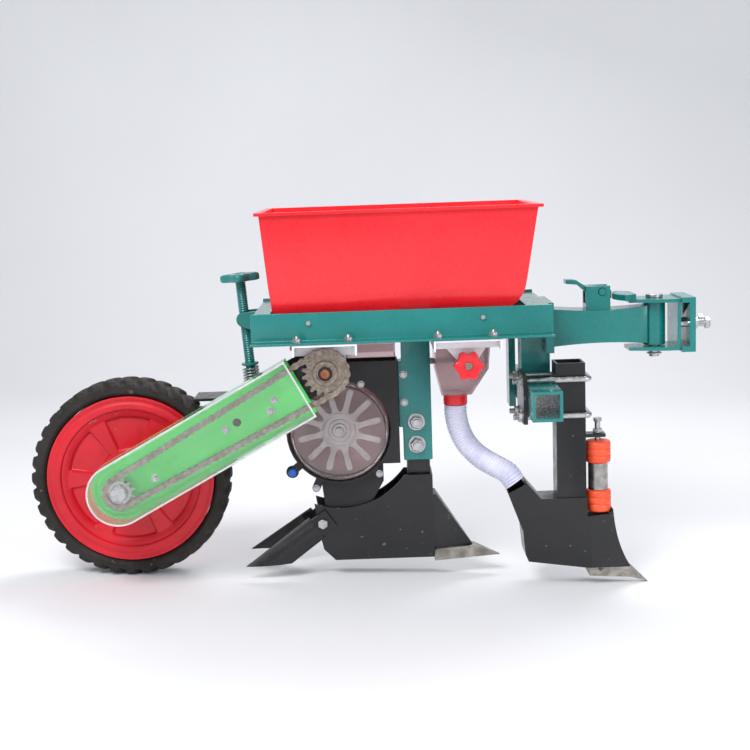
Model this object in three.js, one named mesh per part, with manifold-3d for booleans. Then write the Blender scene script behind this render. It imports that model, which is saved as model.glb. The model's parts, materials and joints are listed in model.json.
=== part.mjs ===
// Single-row corn planter for a walking tractor.
// Units are millimetres, +Z is up, +X points forward to the hitch.
// The pieces are laid out in the frame's own coordinates: x = 0 at the rear end of the side rails,
// y = 0 on the machine's middle plane, z = 0 at the underside of the rails. The whole machine is
// then shifted so that its origin is the middle of the hitch's front face.
import * as THREE from 'three';
import { mergeVertices } from 'three/addons/utils/BufferGeometryUtils.js';
import Module from 'manifold-3d';

const wasm = await Module();
wasm.setup();

// ---------- driving dimensions ----------
const gap = 0.3; // between faces that touch
const running = 0.6; // between faces that slide or turn on each other

const rail = { length: 495, web: 50, flange: 30, wall: 4, halfGap: 136 };
const crossbar = { height: 44, wall: 4 };
const rearBar = { x: 2, width: 28 };
const legTube = { x: 272, size: 50, wall: 4, drop: 227 };
const hopper = {
  rearX: 21, frontX: 475, rimZ: 214, halfWidth: 140, creaseZ: 94, wall: 4, lip: 7, lipHeight: 5,
  floorZ: 14, floorHalf: 92, ridgeZ: 72, partition: 4, partitionTop: 188,
};
const seedOutlet = { x: 120, length: 70, width: 50 };
const fertOutlet = { x: 353, length: 60, width: 50 };

const chain = { pitch: 12.7, links: 78, plateReach: 5, halfWidth: 5, tooth: 3.2 };
const wheelTeeth = 12;
const inputTeeth = 18;
const input = { x: 119, z: -52, shaft: 8, chainY: -131 };
const armSlope = THREE.MathUtils.degToRad(28.4);
const arm = { y: 100, thickness: 8, width: 56 };
const chainCase = { radius: 53, backY: -110, frontY: -150, wall: 2.5, stop: 47 };

const wheel = { radius: 175, rimRadius: 146, width: 64, rimWidth: 56, hub: 30, hubLength: 150, axle: 10 };
const tread = { lugs: 36, depth: 6 };
const scraper = { width: 70, thickness: 5, clearance: 4 };

const screw = { radius: 9, lean: 0.0704, reach: 150, nutZ: 29, nutX: -22, top: 66 };
const nut = { radius: 13, length: 36 };
const knob = { radius: 34, height: 14, lobes: 4 };
const clevis = { size: 32, height: 58, play: 2 };
const spring = { radius: 15, wire: 1.6, length: 34, turns: 5 };
const crossTube = { radius: 12 };

const meter = {
  x: 136, z: -169, radius: 92, coverRadius: 85, coverDepth: 12, faceY: -40, backY: 14, wall: 3,
};
const meterBox = { rearX: 150, frontX: 240, top: -48, bottom: -228 };
const meterOutlet = { rearX: 108, frontX: 158, y0: -30, y1: 6 };
const seedWheel = { radius: 74, spoons: 12, hub: 20, thickness: 5, shaft: 7 };
const meterTeeth = 12;
const meterChainY = 60;
const chute = { rearX: 56, frontX: 237, bottomRearX: 140, bottomZ: -42, halfWidth: 36, wall: 2.5 };
const tray = { height: 19, wall: 3 };
const seedTray = { rearX: 68, frontX: 173 };
const fertTray = { rearX: 298, frontX: 409 };

const fert = {
  x: 356, z: -48, shaft: 7, roller: 20, y: -8, halfWidth: 42, topX: 352, topHalf: 48, shoulderZ: -66,
  outletX: 340, outletHalf: 26, bottomZ: -110, wall: 2.5,
};
const collar = { radius: 21, wall: 3, height: 22 };
const hubPlate = { y: -112, thickness: 5, hub: 15 };
const fertKnob = { radius: 25, lobes: 6, thickness: 18, nearY: -138, stub: 6 };
const fertTeeth = 12;
const feedChainY = 118;
const hose = { radius: 20, wall: 2.2 };
const hosePoints = [
  [340, -8, -133.5], [340, -8, -150], [345, -9, -176], [357, -13, -202], [378, -24, -224],
  [403, -40, -238], [424, -51, -249], [436.5, -55, -266.6],
];

const boot = { rearX: 87, bottomZ: -401, half: 32, wall: 3, arch: 46, shoulderZ: -252 };
const shank = { size: 40, top: -140 };
const brace = { length: 70, height: 98, halfWidth: 24, nose: 5 };
const share = { length: 118, halfWidth: 30, height: 21, flat: 72 };
const coverer = {
  pivotX: 101, pivotZ: -332, bolt: 5, length: 205, height: 46, thickness: 3.5, bend: 52,
  splay: THREE.MathUtils.degToRad(9), dip: THREE.MathUtils.degToRad(35), ground: -400, plate: 34,
};

const toolbar = { x: 481, z: -115, size: 50, wall: 5, nearY: -168, farY: 150 };
const hanger = { y: 12, size: 50 };
const farHanger = { y: 118, width: 60, thickness: 12, bottom: -158 };
const frontShank = { y: -55, size: 50, wall: 4, top: -57, bottom: -291 };
const ubolt = { radius: 5, clearance: 1 };
const clampPlate = { thickness: 7, width: 96, height: 82 };
const frontBoot = { half: 30, wall: 3, top: -290 };
const frontShare = { halfWidth: 27 };
const roller = { radius: 17, capRadius: 22, top: -196, length: 124, cap: 38, bolt: 5, gap: 2, tab: 6 };

const drawbar = { rearX: 508, height: 66, width: 56, waist: 54, centreZ: -3 };
const kingpin = { x: 690, boss: 19, pin: 9 };
const yoke = { plate: 6, frontX: 722, halfWidth: 40, clearance: 1.5 };
const coupler = { x: 742, thickness: 10, height: 94, halfWidth: 46 };
const adjuster = { radius: 6, y: 24, head: 10, reach: 28 };
const sector = { radius: 72, thickness: 10, halfAngle: 38, teeth: 15, depth: 5 };
const latch = { rearX: 569, frontX: 611, half: 19, pivotX: 597, pivotZ: 58, pin: 6, pawlClearance: 4 };

// ---------- finishes ----------
const finish = (color, roughness, metalness = 0) => ({ color, roughness, metalness });
const teal = finish(0x178079, 0.42);
const redPlastic = finish(0xe81c26, 0.4);
const wheelRed = finish(0xd31526, 0.45);
const rubber = finish(0x26221f, 0.85);
const blackPaint = finish(0x17171b, 0.45);
const blackPlastic = finish(0x1d1b1d, 0.5);
const zinc = finish(0xb9bcc0, 0.35, 0.9);
const rawSteel = finish(0xa8a49c, 0.5, 0.8);
const chainSteel = finish(0x7c7168, 0.45, 0.8);
const green = finish(0x72e884, 0.4);
const clear = { ...finish(0xe4ece6, 0.15), transparent: true, opacity: 0.35 };
const smoke = { ...finish(0x8d6a70, 0.25), transparent: true, opacity: 0.55 };
const white = finish(0xf0eef0, 0.4);
const orange = finish(0xf0512a, 0.45);
const hoseGrey = finish(0xc9cde4, 0.5);
const aluminium = finish(0xc6c0c0, 0.4, 0.6);

// ---------- shape helpers ----------
function toSolid(geometry) {
  const bare = geometry.index ? geometry.toNonIndexed() : geometry.clone();
  bare.deleteAttribute('normal');
  bare.deleteAttribute('uv');
  const merged = mergeVertices(bare, 1e-4);
  return new wasm.Manifold(new wasm.Mesh({
    numProp: 3,
    vertProperties: new Float32Array(merged.attributes.position.array),
    triVerts: new Uint32Array(merged.index.array),
  }));
}

function toGeometry(solid) {
  const mesh = solid.getMesh();
  const geometry = new THREE.BufferGeometry();
  geometry.setAttribute('position', new THREE.BufferAttribute(new Float32Array(mesh.vertProperties), 3));
  geometry.setIndex(new THREE.BufferAttribute(new Uint32Array(mesh.triVerts), 1));
  geometry.computeVertexNormals();
  return geometry;
}

const join = (...geometries) => toGeometry(geometries.map(toSolid).reduce((a, b) => a.add(b)));
const cut = (geometry, ...tools) => toGeometry(
  tools.map(toSolid).reduce((a, b) => a.subtract(b), toSolid(geometry)),
);
const common = (a, b) => toGeometry(toSolid(a).intersect(toSolid(b)));

function box(x0, x1, y0, y1, z0, z1) {
  return new THREE.BoxGeometry(x1 - x0, y1 - y0, z1 - z0)
    .translate((x0 + x1) / 2, (y0 + y1) / 2, (z0 + z1) / 2);
}

function rodY(radius, x, z, y0, y1, sides = 20) {
  return new THREE.CylinderGeometry(radius, radius, y1 - y0, sides).translate(x, (y0 + y1) / 2, z);
}

function rodX(radius, y, z, x0, x1, sides = 16) {
  return new THREE.CylinderGeometry(radius, radius, x1 - x0, sides)
    .rotateZ(-Math.PI / 2).translate((x0 + x1) / 2, y, z);
}

function rodZ(radius, x, y, z0, z1, sides = 24) {
  return new THREE.CylinderGeometry(radius, radius, z1 - z0, sides)
    .rotateX(Math.PI / 2).translate(x, y, (z0 + z1) / 2);
}

function outline(points) {
  return new THREE.Shape(points.map(([a, b]) => new THREE.Vector2(a, b)));
}

// a flat shape drawn in x and z, as thick as y0 to y1
function sidePlate(shape, y0, y1, curveSegments = 12) {
  return new THREE.ExtrudeGeometry(shape, { depth: y1 - y0, bevelEnabled: false, curveSegments })
    .rotateX(Math.PI / 2).translate(0, y1, 0);
}

// a flat shape drawn in x and y, as thick as z0 to z1
function flatPlate(shape, z0, z1, curveSegments = 12) {
  return new THREE.ExtrudeGeometry(shape, { depth: z1 - z0, bevelEnabled: false, curveSegments })
    .translate(0, 0, z0);
}

// a flat shape drawn in y and z, as thick as x0 to x1
function endPlate(shape, x0, x1) {
  return new THREE.ExtrudeGeometry(shape, { depth: x1 - x0, bevelEnabled: false })
    .rotateZ(Math.PI / 2).rotateY(Math.PI / 2).translate(x0, 0, 0);
}

function tubeAlong(points, radius, sides, steps) {
  const circle = new THREE.Shape().absarc(0, 0, radius, 0, 2 * Math.PI);
  return new THREE.ExtrudeGeometry(circle, {
    steps, curveSegments: sides / 2, bevelEnabled: false, extrudePath: new THREE.CatmullRomCurve3(points),
  });
}

function squareTubeZ(x, y, size, wall, z0, z1) {
  const h = size / 2;
  const i = h - wall;
  return cut(box(x - h, x + h, y - h, y + h, z0, z1), box(x - i, x + i, y - i, y + i, z0 - 1, z1 + 1));
}

function sprocketShape(teeth, bore) {
  const pitchRadius = chain.pitch / (2 * Math.sin(Math.PI / teeth));
  const tip = pitchRadius + 2.4;
  const root = pitchRadius - 4.2;
  const points = [];
  for (let i = 0; i < teeth; i += 1) {
    for (const [part, radius] of [[-0.28, root], [-0.08, tip], [0.08, tip], [0.28, root]]) {
      const angle = ((i + 0.5 + part) * 2 * Math.PI) / teeth;
      points.push([radius * Math.cos(angle), radius * Math.sin(angle)]);
    }
  }
  const shape = outline(points);
  if (bore) shape.holes.push(new THREE.Path().absarc(0, 0, bore, 0, 2 * Math.PI, true));
  return shape;
}

// a chain wheel and its boss, solid on their shaft
function toothedWheel(teeth, shaft, [x, z], y) {
  const half = chain.tooth / 2;
  return [
    sidePlate(sprocketShape(teeth), y - half, y + half).translate(x, 0, z),
    rodY(shaft + 5, x, z, y - 7, y + 7, 16),
  ];
}

const pitchRadiusOf = (teeth) => chain.pitch / (2 * Math.sin(Math.PI / teeth));

// the belt line round two wheels: rear one at a, front one at b, each with its own radius
function loopPoints(a, radiusA, b, radiusB, steps = 9) {
  const angle = Math.atan2(b[1] - a[1], b[0] - a[0]);
  const distance = Math.hypot(b[0] - a[0], b[1] - a[1]);
  const lean = Math.asin((radiusB - radiusA) / distance);
  const points = [];
  for (let i = 0; i <= steps; i += 1) {
    const t = angle - Math.PI / 2 - lean + (i / steps) * (Math.PI + 2 * lean);
    points.push([b[0] + radiusB * Math.cos(t), b[1] + radiusB * Math.sin(t)]);
  }
  for (let i = 0; i <= steps; i += 1) {
    const t = angle + Math.PI / 2 + lean + (i / steps) * (Math.PI - 2 * lean);
    points.push([a[0] + radiusA * Math.cos(t), a[1] + radiusA * Math.sin(t)]);
  }
  return points;
}

function loopBand(a, radiusA, b, radiusB, inner, outer, y0, y1) {
  const shape = outline(loopPoints(a, radiusA + outer, b, radiusB + outer));
  shape.holes.push(new THREE.Path(
    loopPoints(a, radiusA + inner, b, radiusB + inner).reverse().map(([x, z]) => new THREE.Vector2(x, z)),
  ));
  return sidePlate(shape, y0, y1);
}

// a roller chain as two rows of side plates that an outer bridge holds, open inwards for the teeth
function chainLoop(a, teethA, b, teethB, y) {
  const rA = pitchRadiusOf(teethA);
  const rB = pitchRadiusOf(teethB);
  const side = (y0, y1) => loopBand(a, rA, b, rB, -chain.plateReach, chain.plateReach, y0, y1);
  const half = chain.halfWidth;
  const bridge = loopBand(a, rA, b, rB, chain.plateReach - 1.8, chain.plateReach, y - half, y + half);
  return join(side(y - half, y - half + 2.6), side(y + half - 2.6, y + half), bridge);
}

function star(radius, lobes, depth, segments = 8) {
  const points = [];
  const count = lobes * segments;
  for (let i = 0; i < count; i += 1) {
    const t = (i / count) * 2 * Math.PI;
    const r = radius - depth + depth * Math.cos(lobes * t);
    points.push([r * Math.cos(t), r * Math.sin(t)]);
  }
  return outline(points);
}

const machine = new THREE.Group();
function add(name, geometry, material) {
  const mesh = new THREE.Mesh(geometry, new THREE.MeshStandardMaterial(material));
  mesh.name = name;
  machine.add(mesh);
  return mesh;
}

// ---------- places worked out from the driving dimensions ----------
const armLength = ((chain.links - (wheelTeeth + inputTeeth) / 2) / 2) * chain.pitch;
const inputAxis = [input.x, input.z];
const wheelAxis = [
  input.x - armLength * Math.cos(armSlope),
  input.z - armLength * Math.sin(armSlope),
];
const railOuterY = rail.halfGap + rail.wall;
const flangeEdgeY = railOuterY + rail.flange;
const screwDir = new THREE.Vector3(screw.lean, 0, -1).normalize();
const screwLean = Math.atan2(screwDir.x, -screwDir.z);
const crossTubeAxis = [
  screw.nutX + screw.reach * screwDir.x,
  screw.nutZ + screw.reach * screwDir.z,
];

// ---------- side rails and cross members ----------
function railShape(side) {
  const inner = side * rail.halfGap;
  const outer = side * railOuterY;
  const edge = side * flangeEdgeY;
  return outline([
    [inner, 0], [edge, 0], [edge, rail.wall], [outer, rail.wall], [outer, rail.web], [inner, rail.web],
  ]);
}

function addRails() {
  for (const [name, side] of [['near_rail', -1], ['far_rail', 1]]) {
    add(name, endPlate(railShape(side), 0, rail.length), teal);
  }
}

function crossMember(x0, x1) {
  const y = rail.halfGap - gap;
  const w = crossbar.wall;
  const top = 2 + crossbar.height;
  return cut(box(x0, x1, -y, y, 2, top), box(x0 + w, x1 - w, -y - 1, y + 1, 2 + w, top - w));
}

// the rear cross member with the two lugs that hold the screw's nut
function addRearCrossbar() {
  const rearFace = rearBar.x + 0.5;
  const y = nut.length / 2 + gap;
  const lug = (y0, y1) => sidePlate(outline([
    [rearFace, 8], [rearFace, 44], [screw.nutX, screw.nutZ + nut.radius],
    [screw.nutX - nut.radius, screw.nutZ], [screw.nutX, screw.nutZ - nut.radius],
  ]), y0, y1);
  const member = crossMember(rearBar.x, rearBar.x + rearBar.width);
  add('rear_crossbar', join(member, lug(-y - 6, -y), lug(y, y + 6)), teal);
}

// ---------- hopper ----------
function hopperEnvelope(inset, top) {
  const side = outline([
    [hopper.rearX + inset, top],
    [hopper.rearX + 14 + inset, 52 + inset],
    [seedOutlet.x - 48 + inset, hopper.floorZ + inset],
    [seedOutlet.x + 48 - inset, hopper.floorZ + inset],
    [legTube.x - 34, hopper.ridgeZ - 14 + inset],
    [legTube.x, hopper.ridgeZ + inset],
    [legTube.x + 34, hopper.ridgeZ - 14 + inset],
    [fertOutlet.x - 42 + inset, hopper.floorZ + inset],
    [fertOutlet.x + 42 - inset, hopper.floorZ + inset],
    [hopper.frontX - 34 - inset, 56 + inset],
    [hopper.frontX - 24 - inset, 72 + inset],
    [hopper.frontX - inset, top],
  ]);
  const half = hopper.halfWidth;
  const end = outline([
    [-half + inset, top],
    [-half + 4 + inset, hopper.creaseZ],
    [-half + 22 + inset, rail.web],
    [-hopper.floorHalf + inset, hopper.floorZ + inset],
    [hopper.floorHalf - inset, hopper.floorZ + inset],
    [half - 22 - inset, rail.web],
    [half - 4 - inset, hopper.creaseZ],
    [half - inset, top],
  ]);
  return common(sidePlate(side, -200, 200), endPlate(end, hopper.rearX - 20, hopper.frontX + 20));
}

function outletHole(outlet) {
  const l = outlet.length / 2;
  const w = outlet.width / 2;
  return box(outlet.x - l, outlet.x + l, -w, w, hopper.floorZ - 5, hopper.floorZ + hopper.wall + 5);
}

function addHopper() {
  const top = hopper.rimZ;
  const lip = hopper.lip;
  const rim = box(
    hopper.rearX - lip, hopper.frontX + lip, -hopper.halfWidth - lip, hopper.halfWidth + lip,
    top - hopper.lipHeight, top - 0.01,
  );
  const divider = box(
    legTube.x - hopper.partition / 2, legTube.x + hopper.partition / 2,
    -hopper.halfWidth + 5, hopper.halfWidth - 5, hopper.ridgeZ - 2, hopper.partitionTop,
  );
  const envelope = hopperEnvelope(0, top);
  const hollow = hopperEnvelope(hopper.wall, top + 1);
  const shell = cut(join(envelope, rim), hollow, outletHole(seedOutlet), outletHole(fertOutlet));
  add('hopper', join(shell, common(divider, envelope)), redPlastic);
}

// ---------- wheel, axle and chain drive ----------
function treadShape() {
  const points = [];
  const base = wheel.radius - tread.depth;
  for (let i = 0; i < tread.lugs; i += 1) {
    const corners = [[0.08, base], [0.2, wheel.radius], [0.62, wheel.radius], [0.74, base]];
    for (const [part, radius] of corners) {
      const angle = ((i + part) / tread.lugs) * 2 * Math.PI;
      points.push([radius * Math.cos(angle), radius * Math.sin(angle)]);
    }
  }
  const shape = outline(points);
  shape.holes.push(new THREE.Path().absarc(0, 0, wheel.rimRadius + gap, 0, 2 * Math.PI, true));
  return shape;
}

function rimProfile() {
  const half = wheel.rimWidth / 2;
  const hubHalf = wheel.hubLength / 2;
  const bore = wheel.axle + gap;
  return [
    [bore, -hubHalf], [wheel.hub - 8, -hubHalf], [wheel.hub, -half + 4], [wheel.hub + 18, -half + 10],
    [wheel.rimRadius - 34, -half + 10], [wheel.rimRadius - 24, -half], [wheel.rimRadius, -half],
    [wheel.rimRadius, half], [wheel.rimRadius - 24, half], [wheel.rimRadius - 34, half - 10],
    [wheel.hub + 18, half - 10], [wheel.hub, half - 4], [wheel.hub - 8, hubHalf], [bore, hubHalf],
    [bore, -hubHalf],
  ].map(([r, y]) => new THREE.Vector2(r, y));
}

function addWheel() {
  const [x, z] = wheelAxis;
  const half = wheel.width / 2;
  const tyre = sidePlate(treadShape(), -half, half, 36).translate(x, 0, z);
  const shoulder = new THREE.LatheGeometry([
    [wheel.rimRadius - 5, -half - 1], [wheel.radius - 8, -half - 1], [wheel.radius + 1, -half + 9],
    [wheel.radius + 1, half - 9], [wheel.radius - 8, half + 1], [wheel.rimRadius - 5, half + 1],
    [wheel.rimRadius - 5, -half - 1],
  ].map(([r, y]) => new THREE.Vector2(r, y)), 36).translate(x, 0, z);
  add('tyre', common(tyre, shoulder), rubber);
  add('wheel_disc', new THREE.LatheGeometry(rimProfile(), 32).translate(x, 0, z), wheelRed);
  const sprocket = sidePlate(sprocketShape(wheelTeeth), -chain.tooth / 2, chain.tooth / 2);
  const axle = join(
    sprocket.translate(x, input.chainY, z),
    rodY(15, x, z, input.chainY - 9, input.chainY + 9),
    rodY(wheel.axle, x, z, input.chainY - 12, arm.y + 22),
    rodY(wheel.axle + 4, x, z, -arm.y + arm.thickness / 2 + running, -wheel.hubLength / 2 - gap),
    rodY(wheel.axle + 4, x, z, wheel.hubLength / 2 + gap, arm.y - arm.thickness / 2 - running),
  );
  add('wheel_axle', axle, rawSteel);
}

function armPlate(y0, y1) {
  const half = arm.width / 2;
  const plate = sidePlate(outline(loopPoints(wheelAxis, half, inputAxis, half)), y0, y1);
  const open = (axis, radius) => rodY(radius, axis[0], axis[1], y0 - 1, y1 + 1);
  return cut(
    plate, open(wheelAxis, wheel.axle + running), open(inputAxis, input.shaft + running),
    open(crossTubeAxis, crossTube.radius - 3),
  );
}

function addArm() {
  const half = arm.thickness / 2;
  add('near_arm', armPlate(-arm.y - half, -arm.y + half), blackPaint);
  add('far_arm', armPlate(arm.y - half, arm.y + half), blackPaint);
  const [x, z] = crossTubeAxis;
  const inside = arm.y - half - gap;
  const spigot = crossTube.radius - 3 - gap;
  add('arm_cross_tube', join(
    rodY(crossTube.radius, x, z, -inside, inside),
    rodY(spigot, x, z, -arm.y - half + 1, arm.y + half - 1),
  ), blackPaint);
}

function addScraper() {
  const [x, z] = crossTubeAxis;
  const top = z + crossTube.radius + gap + scraper.thickness;
  const height = top - scraper.thickness - wheelAxis[1];
  const reach = Math.sqrt((wheel.radius + scraper.clearance) ** 2 - height ** 2);
  const w = scraper.width / 2;
  const blade = box(wheelAxis[0] + reach, x + 12, -w, w, top - scraper.thickness, top);
  const side = clevis.size / 2 + 5;
  add('wheel_scraper', cut(blade, box(x - side, x + side, -side, side, top - 20, top + 20)), blackPaint);
}

function caseOutline(inset) {
  const r = chainCase.radius - inset;
  const points = loopPoints(wheelAxis, r, inputAxis, r, 16);
  return sidePlate(outline(points), chainCase.frontY - 10, chainCase.backY + 10, 16);
}

// everything on the wheel's side of the line where the case stops
function caseHalf(y0, y1, extra = 0) {
  const long = armLength * 2;
  const block = box(-long, -chainCase.stop - extra, y0, y1, -200, 200);
  return block.rotateY(-armSlope).translate(inputAxis[0], 0, inputAxis[1]);
}

function addChainCase() {
  const { wall, backY, frontY } = chainCase;
  const back = common(caseOutline(0), caseHalf(backY, backY + wall));
  const holes = [
    rodY(wheel.axle + 6, wheelAxis[0], wheelAxis[1], backY - 20, backY + 20),
  ];
  add('chain_case_back', cut(back, ...holes), green);
  const outer = common(caseOutline(0), caseHalf(frontY, backY - gap));
  const inner = common(caseOutline(wall), caseHalf(frontY + wall, backY + 5, -20));
  add('chain_case_cover', cut(outer, inner), clear);
}

function addChainDrive() {
  add('drive_chain', chainLoop(wheelAxis, wheelTeeth, inputAxis, inputTeeth, input.chainY), chainSteel);
  const [x, z] = inputAxis;
  const half = chain.tooth / 2;
  const bore = cut(rodY(21, 0, 0, -8, 8, 24), rodY(input.shaft + gap, 0, 0, -20, 20, 24));
  const disc = sidePlate(sprocketShape(inputTeeth, input.shaft + gap), -half, half);
  add('freewheel_sprocket', join(disc, bore).translate(x, input.chainY, z), chainSteel);
  add('input_shaft', join(
    rodY(input.shaft, x, z, input.chainY - 12, feedChainY + 14),
    rodY(12, x, z, input.chainY + 8 + gap, -arm.y - arm.thickness / 2 - running),
    ...toothedWheel(meterTeeth, input.shaft, inputAxis, meterChainY),
    ...toothedWheel(fertTeeth, input.shaft, inputAxis, feedChainY),
  ), rawSteel);
}

// ---------- wheel depth screw ----------
function screwRod(radius, length) {
  return new THREE.CylinderGeometry(radius, radius, length, 20);
}

// moves a shape drawn round the y axis to a distance down the screw's line from the nut
function alongScrew(geometry, distance) {
  return geometry.rotateX(Math.PI / 2).rotateY(-screwLean)
    .translate(screw.nutX + distance * screwDir.x, 0, screw.nutZ + distance * screwDir.z);
}

function addDepthScrew() {
  const barrel = rodY(nut.radius, screw.nutX, screw.nutZ, -nut.length / 2, nut.length / 2);
  add('screw_nut', cut(barrel, alongScrew(screwRod(screw.radius + running, 60), 0)), teal);
  const low = screw.reach - 20;
  const length = screw.top + low;
  const post = alongScrew(screwRod(screw.radius, length), (low - screw.top) / 2);
  const cap = new THREE.ExtrudeGeometry(star(knob.radius, knob.lobes, 5), {
    depth: knob.height, bevelEnabled: false,
  }).rotateX(-Math.PI / 2);
  const seat = alongScrew(screwRod(spring.radius, 4), screw.reach - 34 - spring.length - 3);
  add('depth_screw', join(post, alongScrew(cap, 0.5 - screw.top), seat), teal);
}

function helix(radius, pitch, turns, steps) {
  const points = [];
  for (let i = 0; i <= steps; i += 1) {
    const turn = (i / steps) * turns;
    const t = turn * 2 * Math.PI;
    points.push(new THREE.Vector3(radius * Math.cos(t), turn * pitch, radius * Math.sin(t)));
  }
  return points;
}

function addClevis() {
  const top = screw.reach - 34;
  const half = clevis.size / 2;
  const [x, z] = crossTubeAxis;
  const block = new THREE.BoxGeometry(clevis.size, clevis.height, clevis.size);
  const pocket = screwRod(screw.radius + running, 60);
  const crossBore = rodY(crossTube.radius + clevis.play, x, z, -half - 5, half + 5);
  const body = alongScrew(block.translate(0, -clevis.height / 2, 0), top);
  add('screw_clevis', cut(body, alongScrew(pocket, top), crossBore), teal);
  const pitch = (spring.length - 8) / spring.turns;
  const path = helix(spring.radius - spring.wire, pitch, spring.turns, 40);
  const coil = tubeAlong(path, spring.wire, 6, 40);
  add('screw_spring', alongScrew(coil.translate(0, 4, 0), top - gap), teal);
}

// ---------- seed metering ----------
function crossTray(x0, x1, hole) {
  const w = tray.wall;
  const y = flangeEdgeY - 2;
  const shell = cut(
    box(x0, x1, -y, y, -tray.height, -gap),
    box(x0 + w, x1 - w, -y - 1, y + 1, -tray.height - 1, -gap - w),
  );
  const l = hole.length / 2;
  const half = hole.width / 2;
  return cut(shell, box(hole.x - l, hole.x + l, -half, half, -tray.height, 5));
}

// the tray under the seed outlet, with two ears that carry the input shaft
function addSeedTray() {
  const top = -gap - 1;
  const half = 34;
  const ears = [-90, 82].map((y0) => sidePlate(outline([
    [input.x - half, top], [input.x - half, input.z - 14], [input.x - 14, input.z - 26],
    [input.x + 14, input.z - 26], [input.x + half, input.z - 14], [input.x + half, top],
  ]), y0, y0 + 7));
  const body = join(crossTray(seedTray.rearX, seedTray.frontX, seedOutlet), ...ears);
  add('seed_tray', cut(body, rodY(input.shaft + running, input.x, input.z, -95, 95)), white);
}

// the tray under the fertilizer outlet, with the plate that carries the shaft and its knob
function addFertilizerTray() {
  const { x, z } = fert;
  const top = -gap - 1;
  const y0 = hubPlate.y;
  const y1 = y0 + hubPlate.thickness;
  const web = sidePlate(outline([
    [fert.topX - fert.topHalf, top], [x - hubPlate.hub, z + 4], [x - hubPlate.hub + 4, z - 9],
    [x, z - hubPlate.hub], [x + hubPlate.hub - 4, z - 9], [x + hubPlate.hub, z + 4],
    [fert.topX + fert.topHalf, top],
  ]), y0, y1);
  const body = join(crossTray(fertTray.rearX, fertTray.frontX, fertOutlet), web);
  add('fertilizer_tray', cut(body, rodY(fert.shaft + running, x, z, y0 - 1, y1 + 1)), white);
}

function chuteBody(inset, extra) {
  const top = -tray.height - gap + extra;
  const bottom = chute.bottomZ - extra;
  return sidePlate(outline([
    [chute.rearX + inset, top], [chute.rearX + inset, -tray.height - 6 + inset / 2],
    [chute.bottomRearX + inset, chute.bottomZ + inset / 2], [chute.bottomRearX + inset, bottom],
    [chute.frontX - inset, bottom], [chute.frontX - inset, top],
  ]), -chute.halfWidth + inset, chute.halfWidth - inset);
}

function addChute() {
  const open = box(chute.bottomRearX + chute.wall + 8, chute.frontX - chute.wall,
    -chute.halfWidth + chute.wall, chute.halfWidth - chute.wall, chute.bottomZ - 5, chute.bottomZ + 8);
  add('seed_chute', cut(chuteBody(0, 0), chuteBody(chute.wall, 1), open), smoke);
}

// the lower casing that leads the seed from the meter into the boot
function seedDrop() {
  const r = meter.radius - 1;
  const front = meterBox.rearX + 60;
  const slab = sidePlate(outline([
    [boot.rearX + 8, meter.z - 40], [boot.rearX + 22, boot.bottomZ + 70], [front - 40, boot.bottomZ + 70],
    [front, meterBox.bottom - 34], [front, meterBox.bottom + 1], [meterBox.rearX, meterBox.bottom + 1],
    [meterBox.rearX, meter.z - 40],
  ]), -25, meter.backY);
  const well = box(meterOutlet.rearX, meterOutlet.frontX, meterOutlet.y0 + 8, meterOutlet.y1, -400, -200);
  return cut(slab, rodY(r, meter.x, meter.z, -60, 60, 40), well);
}

function addSeedMeter() {
  const { x, z, radius, faceY, backY, wall } = meter;
  const outer = join(
    rodY(radius, x, z, faceY, backY, 40),
    box(meterBox.rearX, meterBox.frontX, faceY, backY, meterBox.bottom, meterBox.top),
  );
  const inner = join(
    rodY(radius - wall, x, z, faceY - 1, backY - wall, 40),
    box(meterBox.rearX + wall, meterBox.frontX - wall, faceY + wall, backY - wall,
      meterBox.bottom + wall, meterBox.top + 1),
  );
  const outlet = box(meterOutlet.rearX, meterOutlet.frontX, meterOutlet.y0, meterOutlet.y1,
    z - radius - 5, z - radius + 15);
  const bearing = rodY(seedWheel.shaft + running, x, z, backY - wall - 1, backY + 1);
  add('seed_meter_housing', join(cut(outer, inner, outlet, bearing), seedDrop()), blackPlastic);

  const r = meter.coverRadius;
  const d = meter.coverDepth;
  const cover = new THREE.LatheGeometry([
    [0, -d], [28, -d], [30, 2 - d], [r - 16, 3 - d], [r - 3, -5], [r, 0],
    [r - wall, 0], [r - 6, -3.5], [r - 17, 6 - d], [0, 5 - d],
  ].map(([a, b]) => new THREE.Vector2(a, b)), 32);
  add('seed_meter_cover', cover.translate(x, faceY - gap, z), clear);
}

function seedWheelShape() {
  const points = [];
  for (let i = 0; i < seedWheel.spoons; i += 1) {
    for (const [part, share] of [[0.1, 0.55], [0.26, 1], [0.58, 0.98], [0.66, 0.6]]) {
      const angle = ((i + part) / seedWheel.spoons) * 2 * Math.PI;
      const r = share * seedWheel.radius;
      points.push([r * Math.cos(angle), r * Math.sin(angle)]);
    }
  }
  return outline(points);
}

function addSeedWheel() {
  const { x, z } = meter;
  const y = meter.faceY + 16;
  const plate = sidePlate(seedWheelShape(), y, y + seedWheel.thickness).translate(x, 0, z);
  const hub = rodY(seedWheel.hub, x, z, y - 8, y + seedWheel.thickness + 8);
  add('seed_wheel', cut(join(plate, hub), rodY(seedWheel.shaft + gap, x, z, y - 20, y + 30)), aluminium);
  add('seed_wheel_shaft', join(
    rodY(seedWheel.shaft, x, z, meter.faceY + 3, meterChainY + 14),
    ...toothedWheel(meterTeeth, seedWheel.shaft, [x, z], meterChainY),
  ), rawSteel);
  add('meter_chain', chainLoop([x, z], meterTeeth, inputAxis, meterTeeth, meterChainY), chainSteel);
}

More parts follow.
